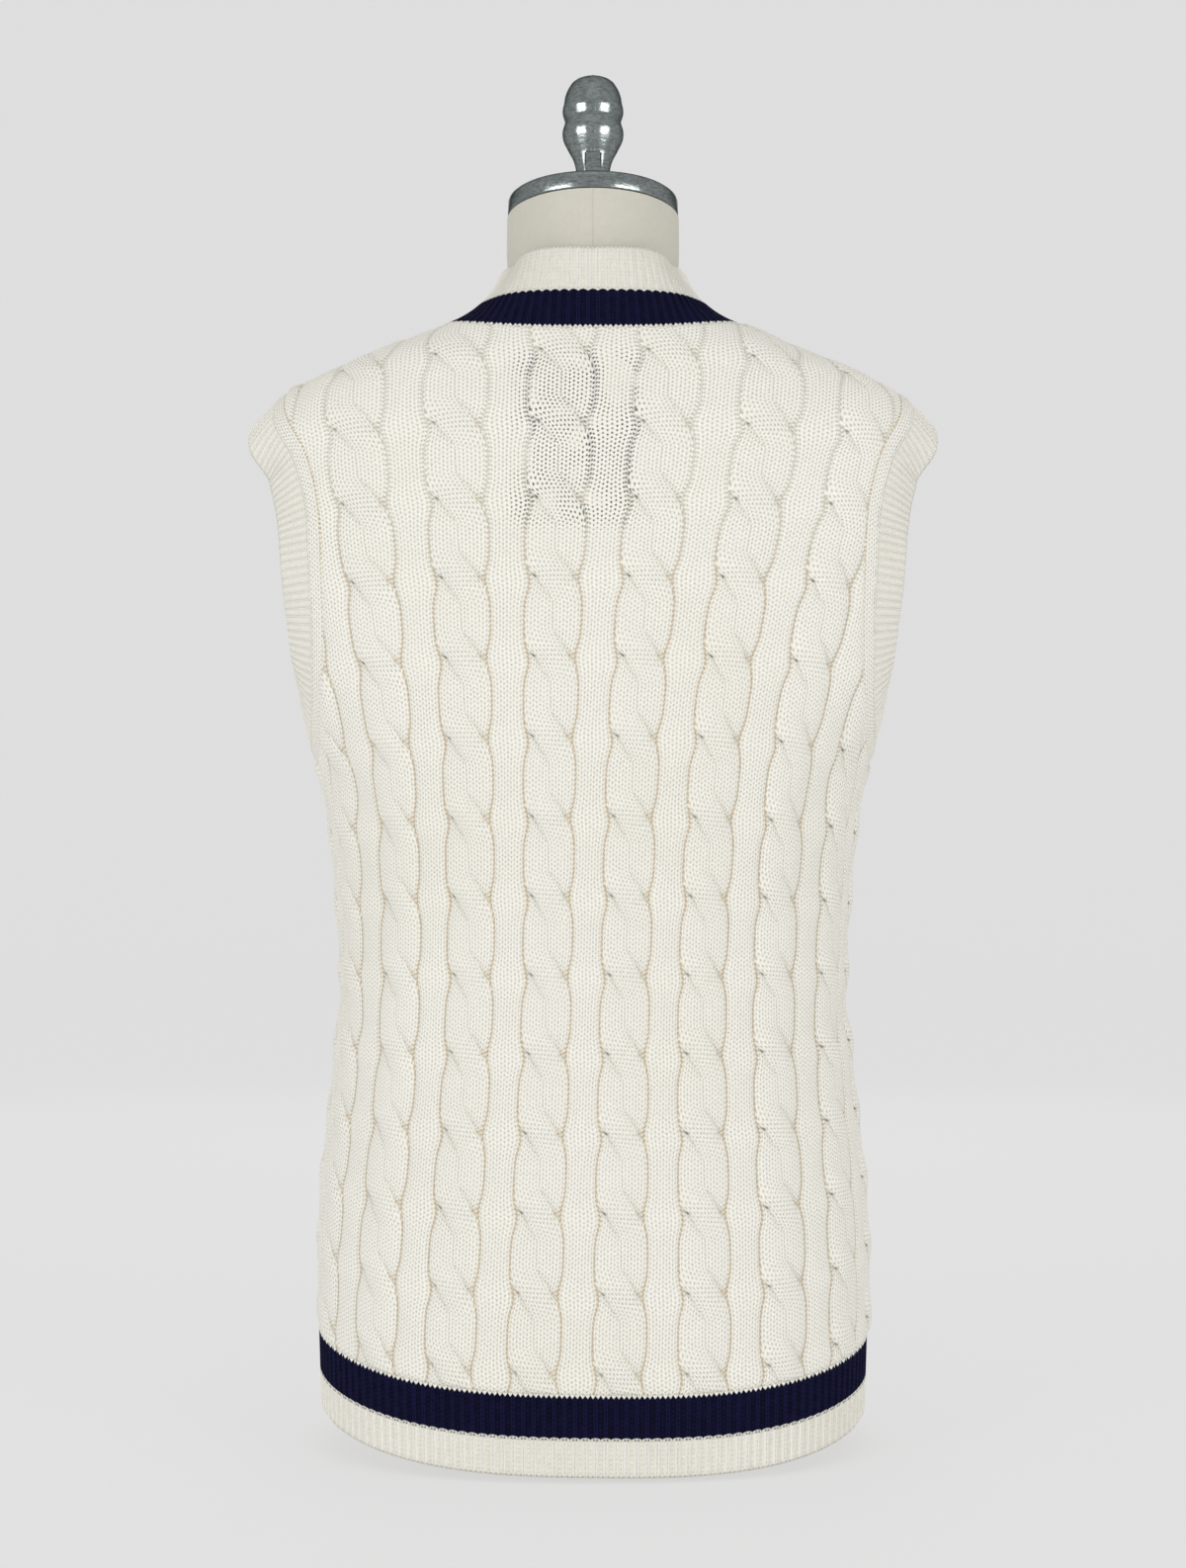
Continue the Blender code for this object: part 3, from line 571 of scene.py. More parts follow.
def withEdgeWales(high, fromArm, isCable):
    # plain wales run beside the armhole's seam, with a ladder between them and the pattern
    wide = pattern["edgeWales"] * pattern["wale"]
    onBand = smooth((wide + pattern["edgeBlend"] / 2 - fromArm) / pattern["edgeBlend"])
    ladder = np.exp(-(((fromArm - wide) / pattern["edgeLadder"]) ** 2))
    high = high * (1 - onBand) + pattern["edgeWaleHigh"] * onBand
    return high - pattern["edgeLadderDeep"] * ladder * (1 - 0.6 * isCable)


def openStretch(inner):
    # 1 on the stretch between the shoulders that is knitted more openly, and 0 round it
    x, level, halfWide, halfHigh = pattern["open"]
    fadeWide, fadeHigh = pattern["openFade"]
    isOpen = smooth((halfWide - np.abs(inner[:, 0] - x)) / fadeWide)
    return isOpen * smooth((halfHigh - np.abs(inner[:, 2] - level)) / fadeHigh)


def knitPanel(name, front, finish):
    side, viewerLeft = ("front", -1) if front else ("back", 1)
    levels, columns, along, rise, half = panelGrid(front)
    used, quads, rim, flat, outline, armhole = trimmed(along, levels, front)
    inner = clothPoints(flat[:, 0], flat[:, 1], front)
    isCable = np.broadcast_to(columns[1] == 1, along.shape).ravel()[used]
    across = np.broadcast_to(columns[2], along.shape).ravel()[used]
    rise, half = rise.ravel()[used], half.ravel()[used]
    repeat = repeatWidth(flat[:, 1])
    intoPanel = np.minimum(across, 1 - across) * (1 - 2 * half) * repeat
    intoCable = (1 - np.abs(across)) * half * repeat
    fromArm, roundArm = besideArmhole(inner, armhole, front)

    high = patternHeight(isCable, across, rise, intoPanel, flat[:, 1], viewerLeft)
    high = withEdgeWales(high, fromArm, isCable)
    rimLine = clothPoints(outline[:, 0], outline[:, 1], front)
    fromSeam = distances(inner, np.concatenate((rimLine, rimLine[:1])))[0]
    fade = smooth(fromSeam / pattern["seamFade"])
    high = pattern["edgeHigh"] * (1 - fade) + high * fade
    lift = pattern["wall"] + high - troughDepth(flat[:, 0], flat[:, 1], side) * fade
    outer = clothPoints(flat[:, 0], flat[:, 1], front, lift)

    # a rim closes the edge back to the inner face
    edge = np.unique(rim)
    back = np.full(len(used), -1)
    back[edge] = len(used) + np.arange(len(edge))
    points = np.concatenate((outer, inner[edge]))
    faces = quads.tolist() + [[b, a, int(back[a]), int(back[b])] for a, b in rim.tolist()]

    # a cable's numbers run on to the middle of the next panel, and a panel's to the middle of the next cable
    cableAcross = np.where(isCable, across, np.where(across < 0.5, 1 + across, across - 2)) * viewerLeft
    overCable = np.where(across < 0, pattern["panelWales"] + 1 + across, across - 1)
    panelWale = np.where(isCable, overCable, across * pattern["panelWales"])
    fromEdge = np.where(isCable, intoCable, -intoPanel)
    values = {
        "knit": (cableAcross, rise, fromEdge),
        "edge": (panelWale, fromArm, roundArm),
        "tone": (openStretch(inner) * (not front), half * repeat, 0 * half),
    }
    values = {key: np.stack(three, axis=1) for key, three in values.items()}
    values = {key: np.concatenate((v, v[edge])) for key, v in values.items()}

    # on the map the rim lies in a strip of its own under the panel
    strip = np.linspace(flat[:, 0].min(), flat[:, 0].max(), len(rim) + 1)
    high, low = levels[0] - pattern["mapStrip"][0], levels[0] - pattern["mapStrip"][1]
    under = [[(b, high), (a, high), (a, low), (b, low)] for a, b in zip(strip, strip[1:])]
    corners = np.concatenate((flat[quads].reshape(-1, 2), np.array(under).reshape(-1, 2)))
    piece = newMesh(name, points, faces, finish, values, corners)
    if front:
        piece.data.flip_normals()
    print(name, len(quads), "stitch quads")
    return piece


# ribbed bands: a crest and a groove to each period, navy beside the body and cream at the free edge
ribs = {
    "pitch": 0.00574,
    "armholePitch": 0.0047,
    "wall": 0.0022,
    "crest": 0.0010,
    "armholeCrest": 0.0005,
    "crestInset": 0.0002,
    "crestFlat": 1.15,
    "crestFall": 1.35,
    "crestCurve": 2.4,
    "dimple": 0.18,  # between the two legs
    "dimpleWide": 0.16,
    "perPeriod": 8,
    "rowStep": 0.0021,
    "roundOff": 0.0022,
    "edgeEase": 0.3,  # the share of a crest that is left at a free edge
    "innerShares": (1.0, 0.66, 0.33, 0.0),
    "leastCurl": 2e-5,
    "halvings": 40,
    "hemStart": 0.25,  # of a period, at the side seam
    "merge": 2e-6,
    "mapGap": 0.0008,  # more room on the map for each row, and between the two halves of the neck
    "mapApart": 0.002,
    "hemNavy": 0.0258,
    "neckBand": 0.0560,
    "neckNavy": 0.0275,
    "armholeBand": 0.0260,
    # share of the half loop, angle up from the cloth at the seam, and at the free edge
    "neckStand": np.array((
        (0.00, -2, -2),
        (0.35, -2, -2),
        (0.52, -2, 12),
        (0.61, -3, 42),
        (0.68, -6, 54),
        (0.75, -3, 46),
        (0.86, 0, 24),
        (1.00, 2, 10),
    )),
    "armholeStand": np.array((
        (0.00, -11, -27),
        (0.25, -6, -24),
        (0.50, -4, -20),
        (0.75, -4, -20),
        (1.00, -3, -16),
    )),
}


def ribHeight(period):
    # across one period: two legs of the knit wale, with the purl groove at whole numbers
    fromCrest = np.abs(period % 1 - 0.5) * 2
    dimple = ribs["dimple"] * np.exp(-((fromCrest / ribs["dimpleWide"]) ** 2))
    return np.clip(ribs["crestFlat"] - ribs["crestFall"] * fromCrest ** ribs["crestCurve"] - dimple, 0, 1)


class Ribbing:
    # lines of knitting side by side, each with its start on a seam, its way across and its way out

    def __init__(self, start, across, out, stand, width, period):
        self.start, self.across, self.out = start, across, out
        self.stand = np.radians(stand[0])
        self.curl = (np.radians(stand[1] - stand[0]) + ribs["leastCurl"]) / width
        self.period = period
        self.limit = np.full(len(start), np.inf)

    def at(self, reach, lift):
        # points at this reach from the seam, one row for each line
        reach = np.minimum(reach, self.limit)
        angle = self.stand + self.curl * reach
        forward = (np.sin(angle) - np.sin(self.stand)) / self.curl
        upward = (np.cos(self.stand) - np.cos(angle)) / self.curl
        point = self.start + self.across * forward[:, None] + self.out * upward[:, None]
        lean = self.out * np.cos(angle)[:, None] - self.across * np.sin(angle)[:, None]
        point += lean * np.broadcast_to(lift, angle.shape)[:, None]
        point[:, 0] = np.where(reach >= self.limit, 0, point[:, 0])
        return point

    def endAtTheMiddle(self, width, lines):
        # these lines stop where they reach the plane through the middle
        near, far = np.zeros(len(self.start)), np.full(len(self.start), 2 * width)
        for _ in range(ribs["halvings"]):
            middle = (near + far) / 2
            inside = self.at(middle, 0.0)[:, 0] > 0
            near, far = np.where(inside, middle, near), np.where(inside, far, middle)
        self.limit = np.where(lines, near, np.inf)


def bandSection(lines, low, high, joined, crestHigh):
    # the points round the band's section on each line: out along its face and back along its inside
    rows = max(int(round((high - low) / ribs["rowStep"])), 4)
    shares = np.sort(np.append(np.linspace(0, 1, rows + 1), (0.5 / rows, 1 - 0.5 / rows)))
    crest = ribHeight(lines.period)
    reaches, lifts = [], []
    for share in shares:
        reaches.append(low + (high - low) * share)
        toFree = min(9.0 if joined[0] else reaches[-1] - low, 9.0 if joined[1] else high - reaches[-1])
        ease = ribs["edgeEase"] + (1 - ribs["edgeEase"]) * float(smooth(toFree / ribs["roundOff"]))
        lifts.append((ribs["wall"] - ribs["crestInset"]) * (0.5 + 0.5 * ease) + crestHigh * crest * ease)
    for share in ribs["innerShares"]:
        reaches.append(low + (high - low) * share)
        lifts.append(0 * crest)
    layers = [lines.at(np.full(len(crest), reach), lift) for reach, lift in zip(reaches, lifts)]
    return np.stack(layers, axis=1), np.array(reaches)


def bandMap(lines, reaches, shape):
    # the faces' corners on the map: along the band, and round its section
    along = np.append(lines.period, lines.period[-1] + 1 / ribs["perPeriod"]) * ribs["pitch"]
    section = np.concatenate(([0], np.cumsum(np.abs(np.diff(reaches)) + ribs["mapGap"]), [0]))
    section[-1] = section[-2] + ribs["wall"]
    i, k = np.indices(shape)
    return np.stack((
        np.stack((along[i], along[i], along[i + 1], along[i + 1]), axis=-1),
        np.stack((section[k], section[k + 1], section[k + 1], section[k]), axis=-1),
    ), axis=-1).reshape(-1, 4, 2)


def closeMesh(piece, merge=0.0, fill=False):
    # merges doubled points, fills open ends and turns the faces outward
    mesh = bmesh.new()
    mesh.from_mesh(piece.data)
    if merge:
        bmesh.ops.remove_doubles(mesh, verts=mesh.verts, dist=merge)
    if fill:
        bmesh.ops.holes_fill(mesh, edges=[e for e in mesh.edges if e.is_boundary], sides=0)
    bmesh.ops.recalc_face_normals(mesh, faces=mesh.faces)
    if mesh.calc_volume(signed=True) < 0:
        bmesh.ops.reverse_faces(mesh, faces=mesh.faces)
    mesh.to_mesh(piece.data)
    mesh.free()


def ribBand(name, lines, low, high, finish, joined, loop=False, half=False, crestHigh=ribs["crest"]):
    # joined says which of the near and the far edge meets other knitting; a free edge is rounded off
    points, reaches = bandSection(lines, low, high, joined, crestHigh)
    count, ring = points.shape[:2]
    reach = np.broadcast_to(reaches, (count, ring))
    period = np.broadcast_to(lines.period[:, None], reach.shape)
    knit = np.stack((period, reach / pattern["course"], reach - low), axis=-1)
    fromFar = high - np.minimum(reach, lines.limit[:, None])
    tone = np.stack((fromFar, 0 * fromFar, 0 * fromFar), axis=-1)
    points, knit, tone = points.reshape(-1, 3), knit.reshape(-1, 3), tone.reshape(-1, 3)
    number = np.arange(count * ring).reshape(count, ring)
    ahead = np.roll(number, -1, axis=0) if loop else number[1:]
    here = number if loop else number[:-1]
    faces = np.stack((here, np.roll(here, -1, axis=1), np.roll(ahead, -1, axis=1), ahead), axis=-1)
    faces = faces.reshape(-1, 4)
    corners = bandMap(lines, reaches, here.shape)
    if half:
        # the other half is its mirror image, and the two meet where the middle cuts them
        flatOnPlane = (np.abs(points[faces][:, :, 0]) < 1e-7).all(axis=1)
        faces, corners = faces[~flatOnPlane], corners[~flatOnPlane]
        corners = np.concatenate((corners, corners[:, ::-1] * (-1, 1) - (ribs["mapApart"], 0)))
        other = faces[:, ::-1] + len(points)
        points = np.concatenate((points, points * (-1, 1, 1)))
        knit, tone = np.concatenate((knit, knit)), np.concatenate((tone, tone))
        faces = np.concatenate((faces, other))
    if loop:
        # where the loop closes, the count of periods runs on to the end
        knit = knit[faces]
        knit[..., 0] = corners[..., 0] / ribs["pitch"]
        knit = knit.reshape(-1, 3)
    values = {"knit": knit, "tone": tone}
    piece = newMesh(name, points, faces.tolist(), finish, values, corners.reshape(-1, 2))
    closeMesh(piece, ribs["merge"], not loop and not half)
    print(name, len(piece.data.polygons), "faces")
    return piece


def unit(vectors):
    return vectors / np.linalg.norm(vectors, axis=-1, keepdims=True)


def hemLines(front):
    # lines of ribbing from the hem's seam down to its edge
    top, foot = seams["hemSeam"], seams["hemEdge"]
    halfTop = onSection(top, front, depth=seams["gap"] / 2)
    halfFoot = onSection(foot, front, depth=seams["gap"] / 2)
    periods = round(halfTop * 2 / ribs["pitch"])
    share = np.linspace(-1, 1, periods * ribs["perPeriod"] + 1)
    start = clothPoints(halfTop * share, np.full(len(share), top), front)
    end = clothPoints(halfFoot * share, np.full(len(share), foot), front)
    run = unit(end - start)
    out = outward(start[:, 0], start[:, 1], np.full(len(share), top), front)
    out = unit(out - run * (out * run).sum(axis=1, keepdims=True))
    flat = (np.zeros(len(share)), np.zeros(len(share)))
    return Ribbing(start, run, out, flat, top - foot, (share + 1) / 2 * periods + ribs["hemStart"])


def seamLines(points, pitch, isLoop):
    # lines of ribbing that leave a seam, whose points are (along, height, front)
    places = np.concatenate([clothPoints(p[:, 0], p[:, 1], bool(p[0, 2])) for p in points])
    heights = np.concatenate([p[:, 1] for p in points])
    fronts = np.concatenate([p[:, 2] for p in points])
    outs = np.concatenate([
        outward(places[fronts == f][:, 0], places[fronts == f][:, 1], heights[fronts == f], bool(f))
        for f in (points[0][0, 2], points[1][0, 2])
    ])
    lengths = np.concatenate(([0], np.cumsum(np.linalg.norm(np.diff(places, axis=0), axis=1))))
    total = lengths[-1]
    periods = round(total / pitch)
    at = np.linspace(0, total, periods * ribs["perPeriod"] + 1)
    at = at[:-1] if isLoop else at
    start, out, tangent = (
        np.stack([np.interp(at, lengths, values[:, k]) for k in range(3)], axis=1)
        for values in (places, outs, unit(np.gradient(places, axis=0)))
    )
    across = unit(np.cross(out, unit(tangent)))
    out = unit(np.cross(unit(tangent), across))
    return periods, start, across, out, at, total, lengths


def armholeLines():
    # from the underarm up the back, over the shoulder and down the front
    turns = seamTurns()
    back = np.array([(*armholeSeam(turn, False), 0) for turn in turns])
    front = np.array([(*armholeSeam(turn, True), 1) for turn in turns[::-1]])[1:]
    periods, start, across, out, at, total, lengths = seamLines((back, front), ribs["armholePitch"], True)
    shoulder = lengths[len(back) - 1]
    share = np.where(at < shoulder, at / shoulder, (total - at) / (total - shoulder))
    stand = curve(ribs["armholeStand"], 1)(share), curve(ribs["armholeStand"], 2)(share)
    return Ribbing(start, across, out, stand, ribs["armholeBand"], at / total * periods)


def neckLines():
    # half the neck, from the V's point over the shoulder to the middle of the back
    shares = seamShares()
    front = np.array([(*neckSeam(share, True), 1) for share in shares])
    back = np.array([(*neckSeam(share, False), 0) for share in shares[::-1]])[1:]
    periods, start, across, out, at, total, _ = seamLines((front, back), ribs["pitch"], False)
    for direction in (start, across, out):
        direction[-1, 0] = 0
    stand = curve(ribs["neckStand"], 1)(at / total), curve(ribs["neckStand"], 2)(at / total)
    lines = Ribbing(start, unit(across), unit(out), stand, ribs["neckBand"], at / total * periods)
    lines.endAtTheMiddle(ribs["neckBand"], at < total / 2)
    return lines


def only(lines, keep):
    # drops the other lines
    for key in ("start", "across", "out", "period", "limit", "stand", "curl"):
        setattr(lines, key, getattr(lines, key)[keep])
    return lines


class Wire:
    # a value in a material, so that shader maths is written as an expression

    def __init__(self, finish, socket):
        self.finish, self.socket = finish, socket

    def math(self, operation, *others):
        values = dict(enumerate((self, *others)))
        return self.finish.node("ShaderNodeMath", {"operation": operation}, values)

    def __add__(self, other):
        return self.math("ADD", other)

    def __radd__(self, other):
        return self.math("ADD", other)

    def __mul__(self, other):
        return self.math("MULTIPLY", other)

    def __rmul__(self, other):
        return self.math("MULTIPLY", other)

    def __sub__(self, other):
        return self.math("SUBTRACT", other)

    def __rsub__(self, other):
        return self.finish.node("ShaderNodeMath", {"operation": "SUBTRACT"}, {0: other, 1: self})

    def __truediv__(self, other):
        return self.math("DIVIDE", other)

    def __pow__(self, other):
        return self.math("POWER", other)

    def __neg__(self):
        return self.math("MULTIPLY", -1.0)

    def __abs__(self):
        return self.math("ABSOLUTE")

    def fract(self):
        return self.math("FRACT")

    def sine(self):
        return self.math("SINE")

    def root(self):
        return self.math("SQRT")

    def atMost(self, other):
        return self.math("MINIMUM", other)

    def atLeast(self, other):
        return self.math("MAXIMUM", other)

    def clamped(self):
        return self.atLeast(0.0).atMost(1.0)

    def under(self, other):
        # 1 where this value is less than the other, and 0 elsewhere
        return self.math("LESS_THAN", other)

    def bell(self, width):
        # 1 at zero, falling away on both sides
        return (-((self / width) * (self / width))).math("EXPONENT")

    def between(self, low, high):
        # 0 at low, 1 at high, smooth in between
        return self.finish.node(
            "ShaderNodeMapRange",
            {"interpolation_type": "SMOOTHSTEP"},
            {"Value": self, "From Min": low, "From Max": high},
        )


class Finish:
    # a material and its nodes

    def __init__(self, name, colour, **fixed):
        self.material = bpy.data.materials.new(name)
        self.material.use_nodes = True
        self.material.diffuse_color = (*colour, 1)
        self.tree = self.material.node_tree
        self.shader = self.tree.nodes["Principled BSDF"]
        self.shader.inputs["Base Color"].default_value = (*colour, 1)
        for key, value in fixed.items():
            self.shader.inputs[key.replace("_", " ")].default_value = value

    def node(self, kind, settings=None, sockets=None, output=0):
        made = self.tree.nodes.new(kind)
        for key, value in (settings or {}).items():
            setattr(made, key, value)
        for key, value in (sockets or {}).items():
            if isinstance(value, Wire):
                self.tree.links.new(value.socket, made.inputs[key])
            else:
                made.inputs[key].default_value = value
        return Wire(self, made.outputs[output])

    def feed(self, key, wire):
        self.tree.links.new(wire.socket, self.shader.inputs[key])

    def attribute(self, name):
        three = self.node("ShaderNodeAttribute", {"attribute_name": name}, {}, "Vector")
        first = self.node("ShaderNodeSeparateXYZ", {}, {0: three})
        return [Wire(self, output) for output in first.socket.node.outputs]

    def place(self):
        return self.node("ShaderNodeTexCoord", {}, {}, "Object")

    def height(self):
        return self.node("ShaderNodeSeparateXYZ", {}, {0: self.place()}, 2)

    def noise(self, scale, detail=3.0, rough=0.55):
        # scale is one number, or one for each axis
        place = self.place()
        if isinstance(scale, tuple):
            place, scale = self.node("ShaderNodeMapping", {}, {"Vector": place, "Scale": scale}), 1.0
        sockets = {"Vector": place, "Scale": scale, "Detail": detail, "Roughness": rough}
        return self.node("ShaderNodeTexNoise", {}, sockets, "Fac")

    def mix(self, share, first, second):
        first = (*first, 1) if isinstance(first, tuple) else first
        second = (*second, 1) if isinstance(second, tuple) else second
        return self.node("ShaderNodeMix", {"data_type": "RGBA"}, {0: share, 6: first, 7: second}, 2)

    def bump(self, height, distance, strength=1.0):
        sockets = {"Height": height, "Distance": distance, "Strength": strength}
        self.feed("Normal", self.node("ShaderNodeBump", {}, sockets))


yarn = {
    "cream": (0.875, 0.855, 0.780),
    "creamWarm": (0.81, 0.78, 0.68),
    # painted shade in the gaps between stitches, and between the loops at a free edge
    "creamGapShade": (0.26, 0.24, 0.19),
    # painted shade behind the rungs of an open ladder
    "ladderGapShade": (0.52, 0.49, 0.41),
    # painted shade between the rows of stitches and in the creases
    "creamFoldShade": (0.53, 0.50, 0.42),
    # painted shade seen through the holes of the openly knitted stretch
    "openGapShade": (0.020, 0.021, 0.030),
    # painted shadow in the slit at a crossing's end
    "slitShade": (0.25, 0.205, 0.145),
    "tan": (0.86, 0.82, 0.72),
    # painted shade between the rungs of a ladder and between drawn out stitches
    "tanShade": (0.57, 0.43, 0.25),
    # painted shade in the cream ribs' grooves and gaps, also used for their cloudy darker tone
    "ribDeep": (0.52, 0.49, 0.40),
    # lighter painted shade for the armhole ribs, also used for their cloudy darker tone
    "ribSoft": (0.66, 0.63, 0.53),
    # navy is kept only on the tops of the stitches, a painted highlight, and navyDeep is the same yarn in
    # painted shade, also used for its cloudy darker tone
    "navy": (0.0100, 0.0105, 0.0520),
    "navyDeep": (0.0026, 0.0028, 0.0110),
    # specks to a metre in the yarn, how far it is from even, and how cloudy its colour is
    "fibre": 1100.0,
    "uneven": 220.0,
    "cloudy": 9.0,
    "ribCloudy": 12.0,
    "stitchDeep": 0.0009,
}

stitches = {
    # the groove beside a cable: half its width, more at a crossing, more where the cloth is stretched
    "grooveHalf": 0.00060,
    "grooveAtCrossing": 0.0004,
    "grooveOpens": 0.0008,
    "stretched": (0.43, 0.60),  # heights between which the cloth grows stretched sideways
    "armLadderHalf": 0.0007,
    "armLadder": (0.47, 0.54),  # heights between which the ladder beside the edge wales sets in
    "rungSlant": 0.22,
    "rungEdge": (0.28, 0.74),
    "crossingNear": 0.2,  # in pitches
    "tiltFalls": 0.44,
    "creaseShade": 0.16,  # as a share of half the cable
    # how far above a crossing its ends are, in pitches, and where across half the cable
    "endsAt": 0.055,
    "slitAt": 0.76,
    "slitHalfWide": 0.0006,
    "slitHalfLong": 0.0015,
    "drawnAt": 0.80,
    "drawnHalfWide": 0.0015,
    "drawnHalfHigh": 0.0022,
    "patches": 55.0,  # of the stretch that is knitted openly, to a metre
}

ribStitches = {
    # across half a period, from the crest at 0 to the middle of the groove at 1
    "legAt": 0.24,
    "legWide": 0.20,
    "dotWide": 0.12,
    "lineAt": 0.66,
    "lineWide": 0.09,
    "groove": (0.62, 0.86),
    "slant": 0.8,
    # the chain of loops at the free edge
    "chainAt": 0.0010,
    "chainHalf": 0.0006,
    "chainWide": 0.24,
    # how soft the tips of another yarn end, and the dark eye in a scallop of them
    "tipSoft": 0.0004,
    "tipFrom": 0.0002,
    "eyeAt": (0.32, 0.0006),
    "eyeHalf": (0.20, 0.0006),
}


def pick(mask, without, chosen):
    # one value where the mask is 0 and the other where it is 1
    return (chosen - without) * mask + without


def stitchParts(wale, course):
    # how far a point is along each V's legs, and in the small gaps at the V's foot and between the wales
    fromMiddle = abs(wale.fract() - 0.5) * 2
    leg = fromMiddle * (1 - fromMiddle) * 4
    along = ((course + fromMiddle * 0.5) * (2 * pi)).sine() * 0.5 + 0.5
    return leg, along, (1 - along) ** 1.6 * (1 - leg * 0.9)


def topStrand(across, rise):
    # how far above a crossing a point is, in pitches, and the two edges of the strand that lies on top
    t = (rise + 0.5).fract() - 0.5
    low, high = (
        ((s + pattern["foldStart"]) / pattern["foldSpan"]).clamped() ** pattern["foldCurve"]
        for s in (t, 2 * pattern["holeAt"] - t)
    )
    return t, low, -high


def ladders(finish, fromEdge, fromArm, near, onBand, course, stretched):
    # the groove between cable and panel is a ladder of rungs, and so is the line beside the edge wales;
    # the shoulders are stretched sideways, which opens the ladders
    half = near * stitches["grooveAtCrossing"] + stretched * stitches["grooveOpens"] + stitches["grooveHalf"]
    toArmLadder = (fromArm - pattern["edgeWales"] * pattern["wale"]) / stitches["armLadderHalf"]
    inGroove = (abs(fromEdge) / half).between(1.25, 0.75) * (1 - onBand)
    inArmLadder = abs(toArmLadder).between(1.25, 0.55) * finish.height().between(*stitches["armLadder"])
    inGroove = inGroove.atLeast(inArmLadder)
    sideOfLadder = (fromEdge / half) * stretched
    rung = ((course + (fromEdge / half) * stitches["rungSlant"]) * (2 * pi)).sine() * 0.5 + 0.5
    rung = rung.atLeast(sideOfLadder.bell(0.30) * stretched * 0.8)
    return inGroove, inArmLadder, rung


def creamKnit():
    finish = Finish("creamKnit", yarn["cream"], Roughness=0.88, Specular_IOR_Level=0.25)
    across, rise, fromEdge = finish.attribute("knit")
    panelWale, fromArm, roundArm = finish.attribute("edge")
    isOpen, halfWide, _ = finish.attribute("tone")
    isOpen = isOpen * finish.noise(stitches["patches"], 1.0).between(0.30, 0.52)
    t, low, high = topStrand(across, rise)
    onTop = across.under(low) * high.under(across)
    topWale = (across - (low + high) * 0.5) / (low - high).root() * 4 + 2
    near = (t - pattern["holeAt"]).bell(stitches["crossingNear"])
    isCable = (-fromEdge).under(0.0)
    onBand = fromArm.under(pattern["edgeWales"] * pattern["wale"])
    wale = pick(isCable, panelWale, pick(onTop, across * 4, topWale))
    wale = pick(onBand, wale, fromArm / pattern["wale"])
    rows = rise * (pattern["pitch"] / pattern["course"])
    fromCentre = (across - (low + high) * 0.5) * halfWide
    slant = pattern["slant"] / pattern["course"]
    tilt = onTop * isCable * near ** stitches["tiltFalls"] * fromCentre * slant
    course = pick(onBand, rows + tilt, roundArm / pattern["course"])
    leg, along, gap = stitchParts(wale, course)
    stretched = finish.height().between(*stitches["stretched"])
    inGroove, inArmLadder, rung = ladders(finish, fromEdge, fromArm, near, onBand, course, stretched)

    # painted shade in the creases where a strand goes under the one on top, a painted shadow in a small slit
    # at one end, and painted shade between the drawn out stitches at the other
    behind = (across - low).atLeast(high - across)
    deep = (low * across.between(-0.05, 0.05) - high * across.between(0.05, -0.05)).root()
    creaseShade = (1 - onTop) * isCable * (1 - onBand) * deep * behind.bell(stitches["creaseShade"])
    fromLeft = (across - stitches["slitAt"]) * halfWide
    fromRight = (across + stitches["drawnAt"]) * halfWide
    up = (t - stitches["endsAt"]) * pattern["pitch"]
    slitShade = (up * 0.80 - fromLeft * 0.60).bell(stitches["slitHalfWide"])
    slitShade = slitShade * (fromLeft * 0.80 + up * 0.60).bell(stitches["slitHalfLong"])
    slitShade = slitShade * isCable * (1 - onBand)
    drawnShade = fromRight.bell(stitches["drawnHalfWide"]) * up.bell(stitches["drawnHalfHigh"])
    drawnShade = drawnShade * (1 - rung) * isCable * (1 - onBand)

    cloudy = finish.noise(yarn["cloudy"], 2.0)
    fibre = finish.noise(yarn["fibre"], 2.0)
    uneven = finish.noise(yarn["uneven"], 1.0)
    colour = finish.mix((cloudy - 0.30).clamped() * 0.8, yarn["cream"], yarn["creamWarm"])
    # painted shade on the stretched shoulders: their gaps open wider and are also painted darker, which
    # darkens the up-facing shoulders
    stretchShade = (1 - isOpen) * stretched
    # painted shade in the gaps between the stitches, darkest where the openly knitted stretch shows through
    gapShade = gap.between(0.50 - isOpen * 0.26, 0.98 - isOpen * 0.42 - stretchShade * 0.14)
    gapShade = gapShade * (uneven * 0.9 + 0.25 + stretchShade * 0.20) * (1 - creaseShade * 0.3)
    gapShadeColour = finish.mix(isOpen, yarn["creamGapShade"], yarn["openGapShade"])
    colour = finish.mix((gapShade * (isOpen * 0.5 + 0.80)).clamped(), colour, gapShadeColour)
    # painted shade along the lines between the rows
    colour = finish.mix((1 - along) * leg * 0.18, colour, yarn["creamFoldShade"])
    # the ladders: painted shade between the rungs, and behind an open ladder, darkest in the openly knitted
    # stretch
    rungShade = (rung + (uneven - 0.5) * 0.5).between(*stitches["rungEdge"])
    tanLadder = finish.mix(rungShade, yarn["tanShade"], yarn["tan"])
    behindLadderShade = finish.mix(isOpen, yarn["ladderGapShade"], yarn["openGapShade"])
    openLadder = finish.mix(rungShade, behindLadderShade, yarn["cream"])
    ladder = finish.mix(stretched * (1 - inArmLadder), tanLadder, openLadder)
    colour = finish.mix(inGroove * (uneven * 0.4 + 0.7), colour, ladder)
    # painted shade in the creases
    colour = finish.mix(creaseShade * 0.50, colour, yarn["creamFoldShade"])
    # painted shade between the drawn out stitches
    colour = finish.mix(drawnShade * 0.75, colour, finish.mix(isOpen, yarn["tanShade"], yarn["openGapShade"]))
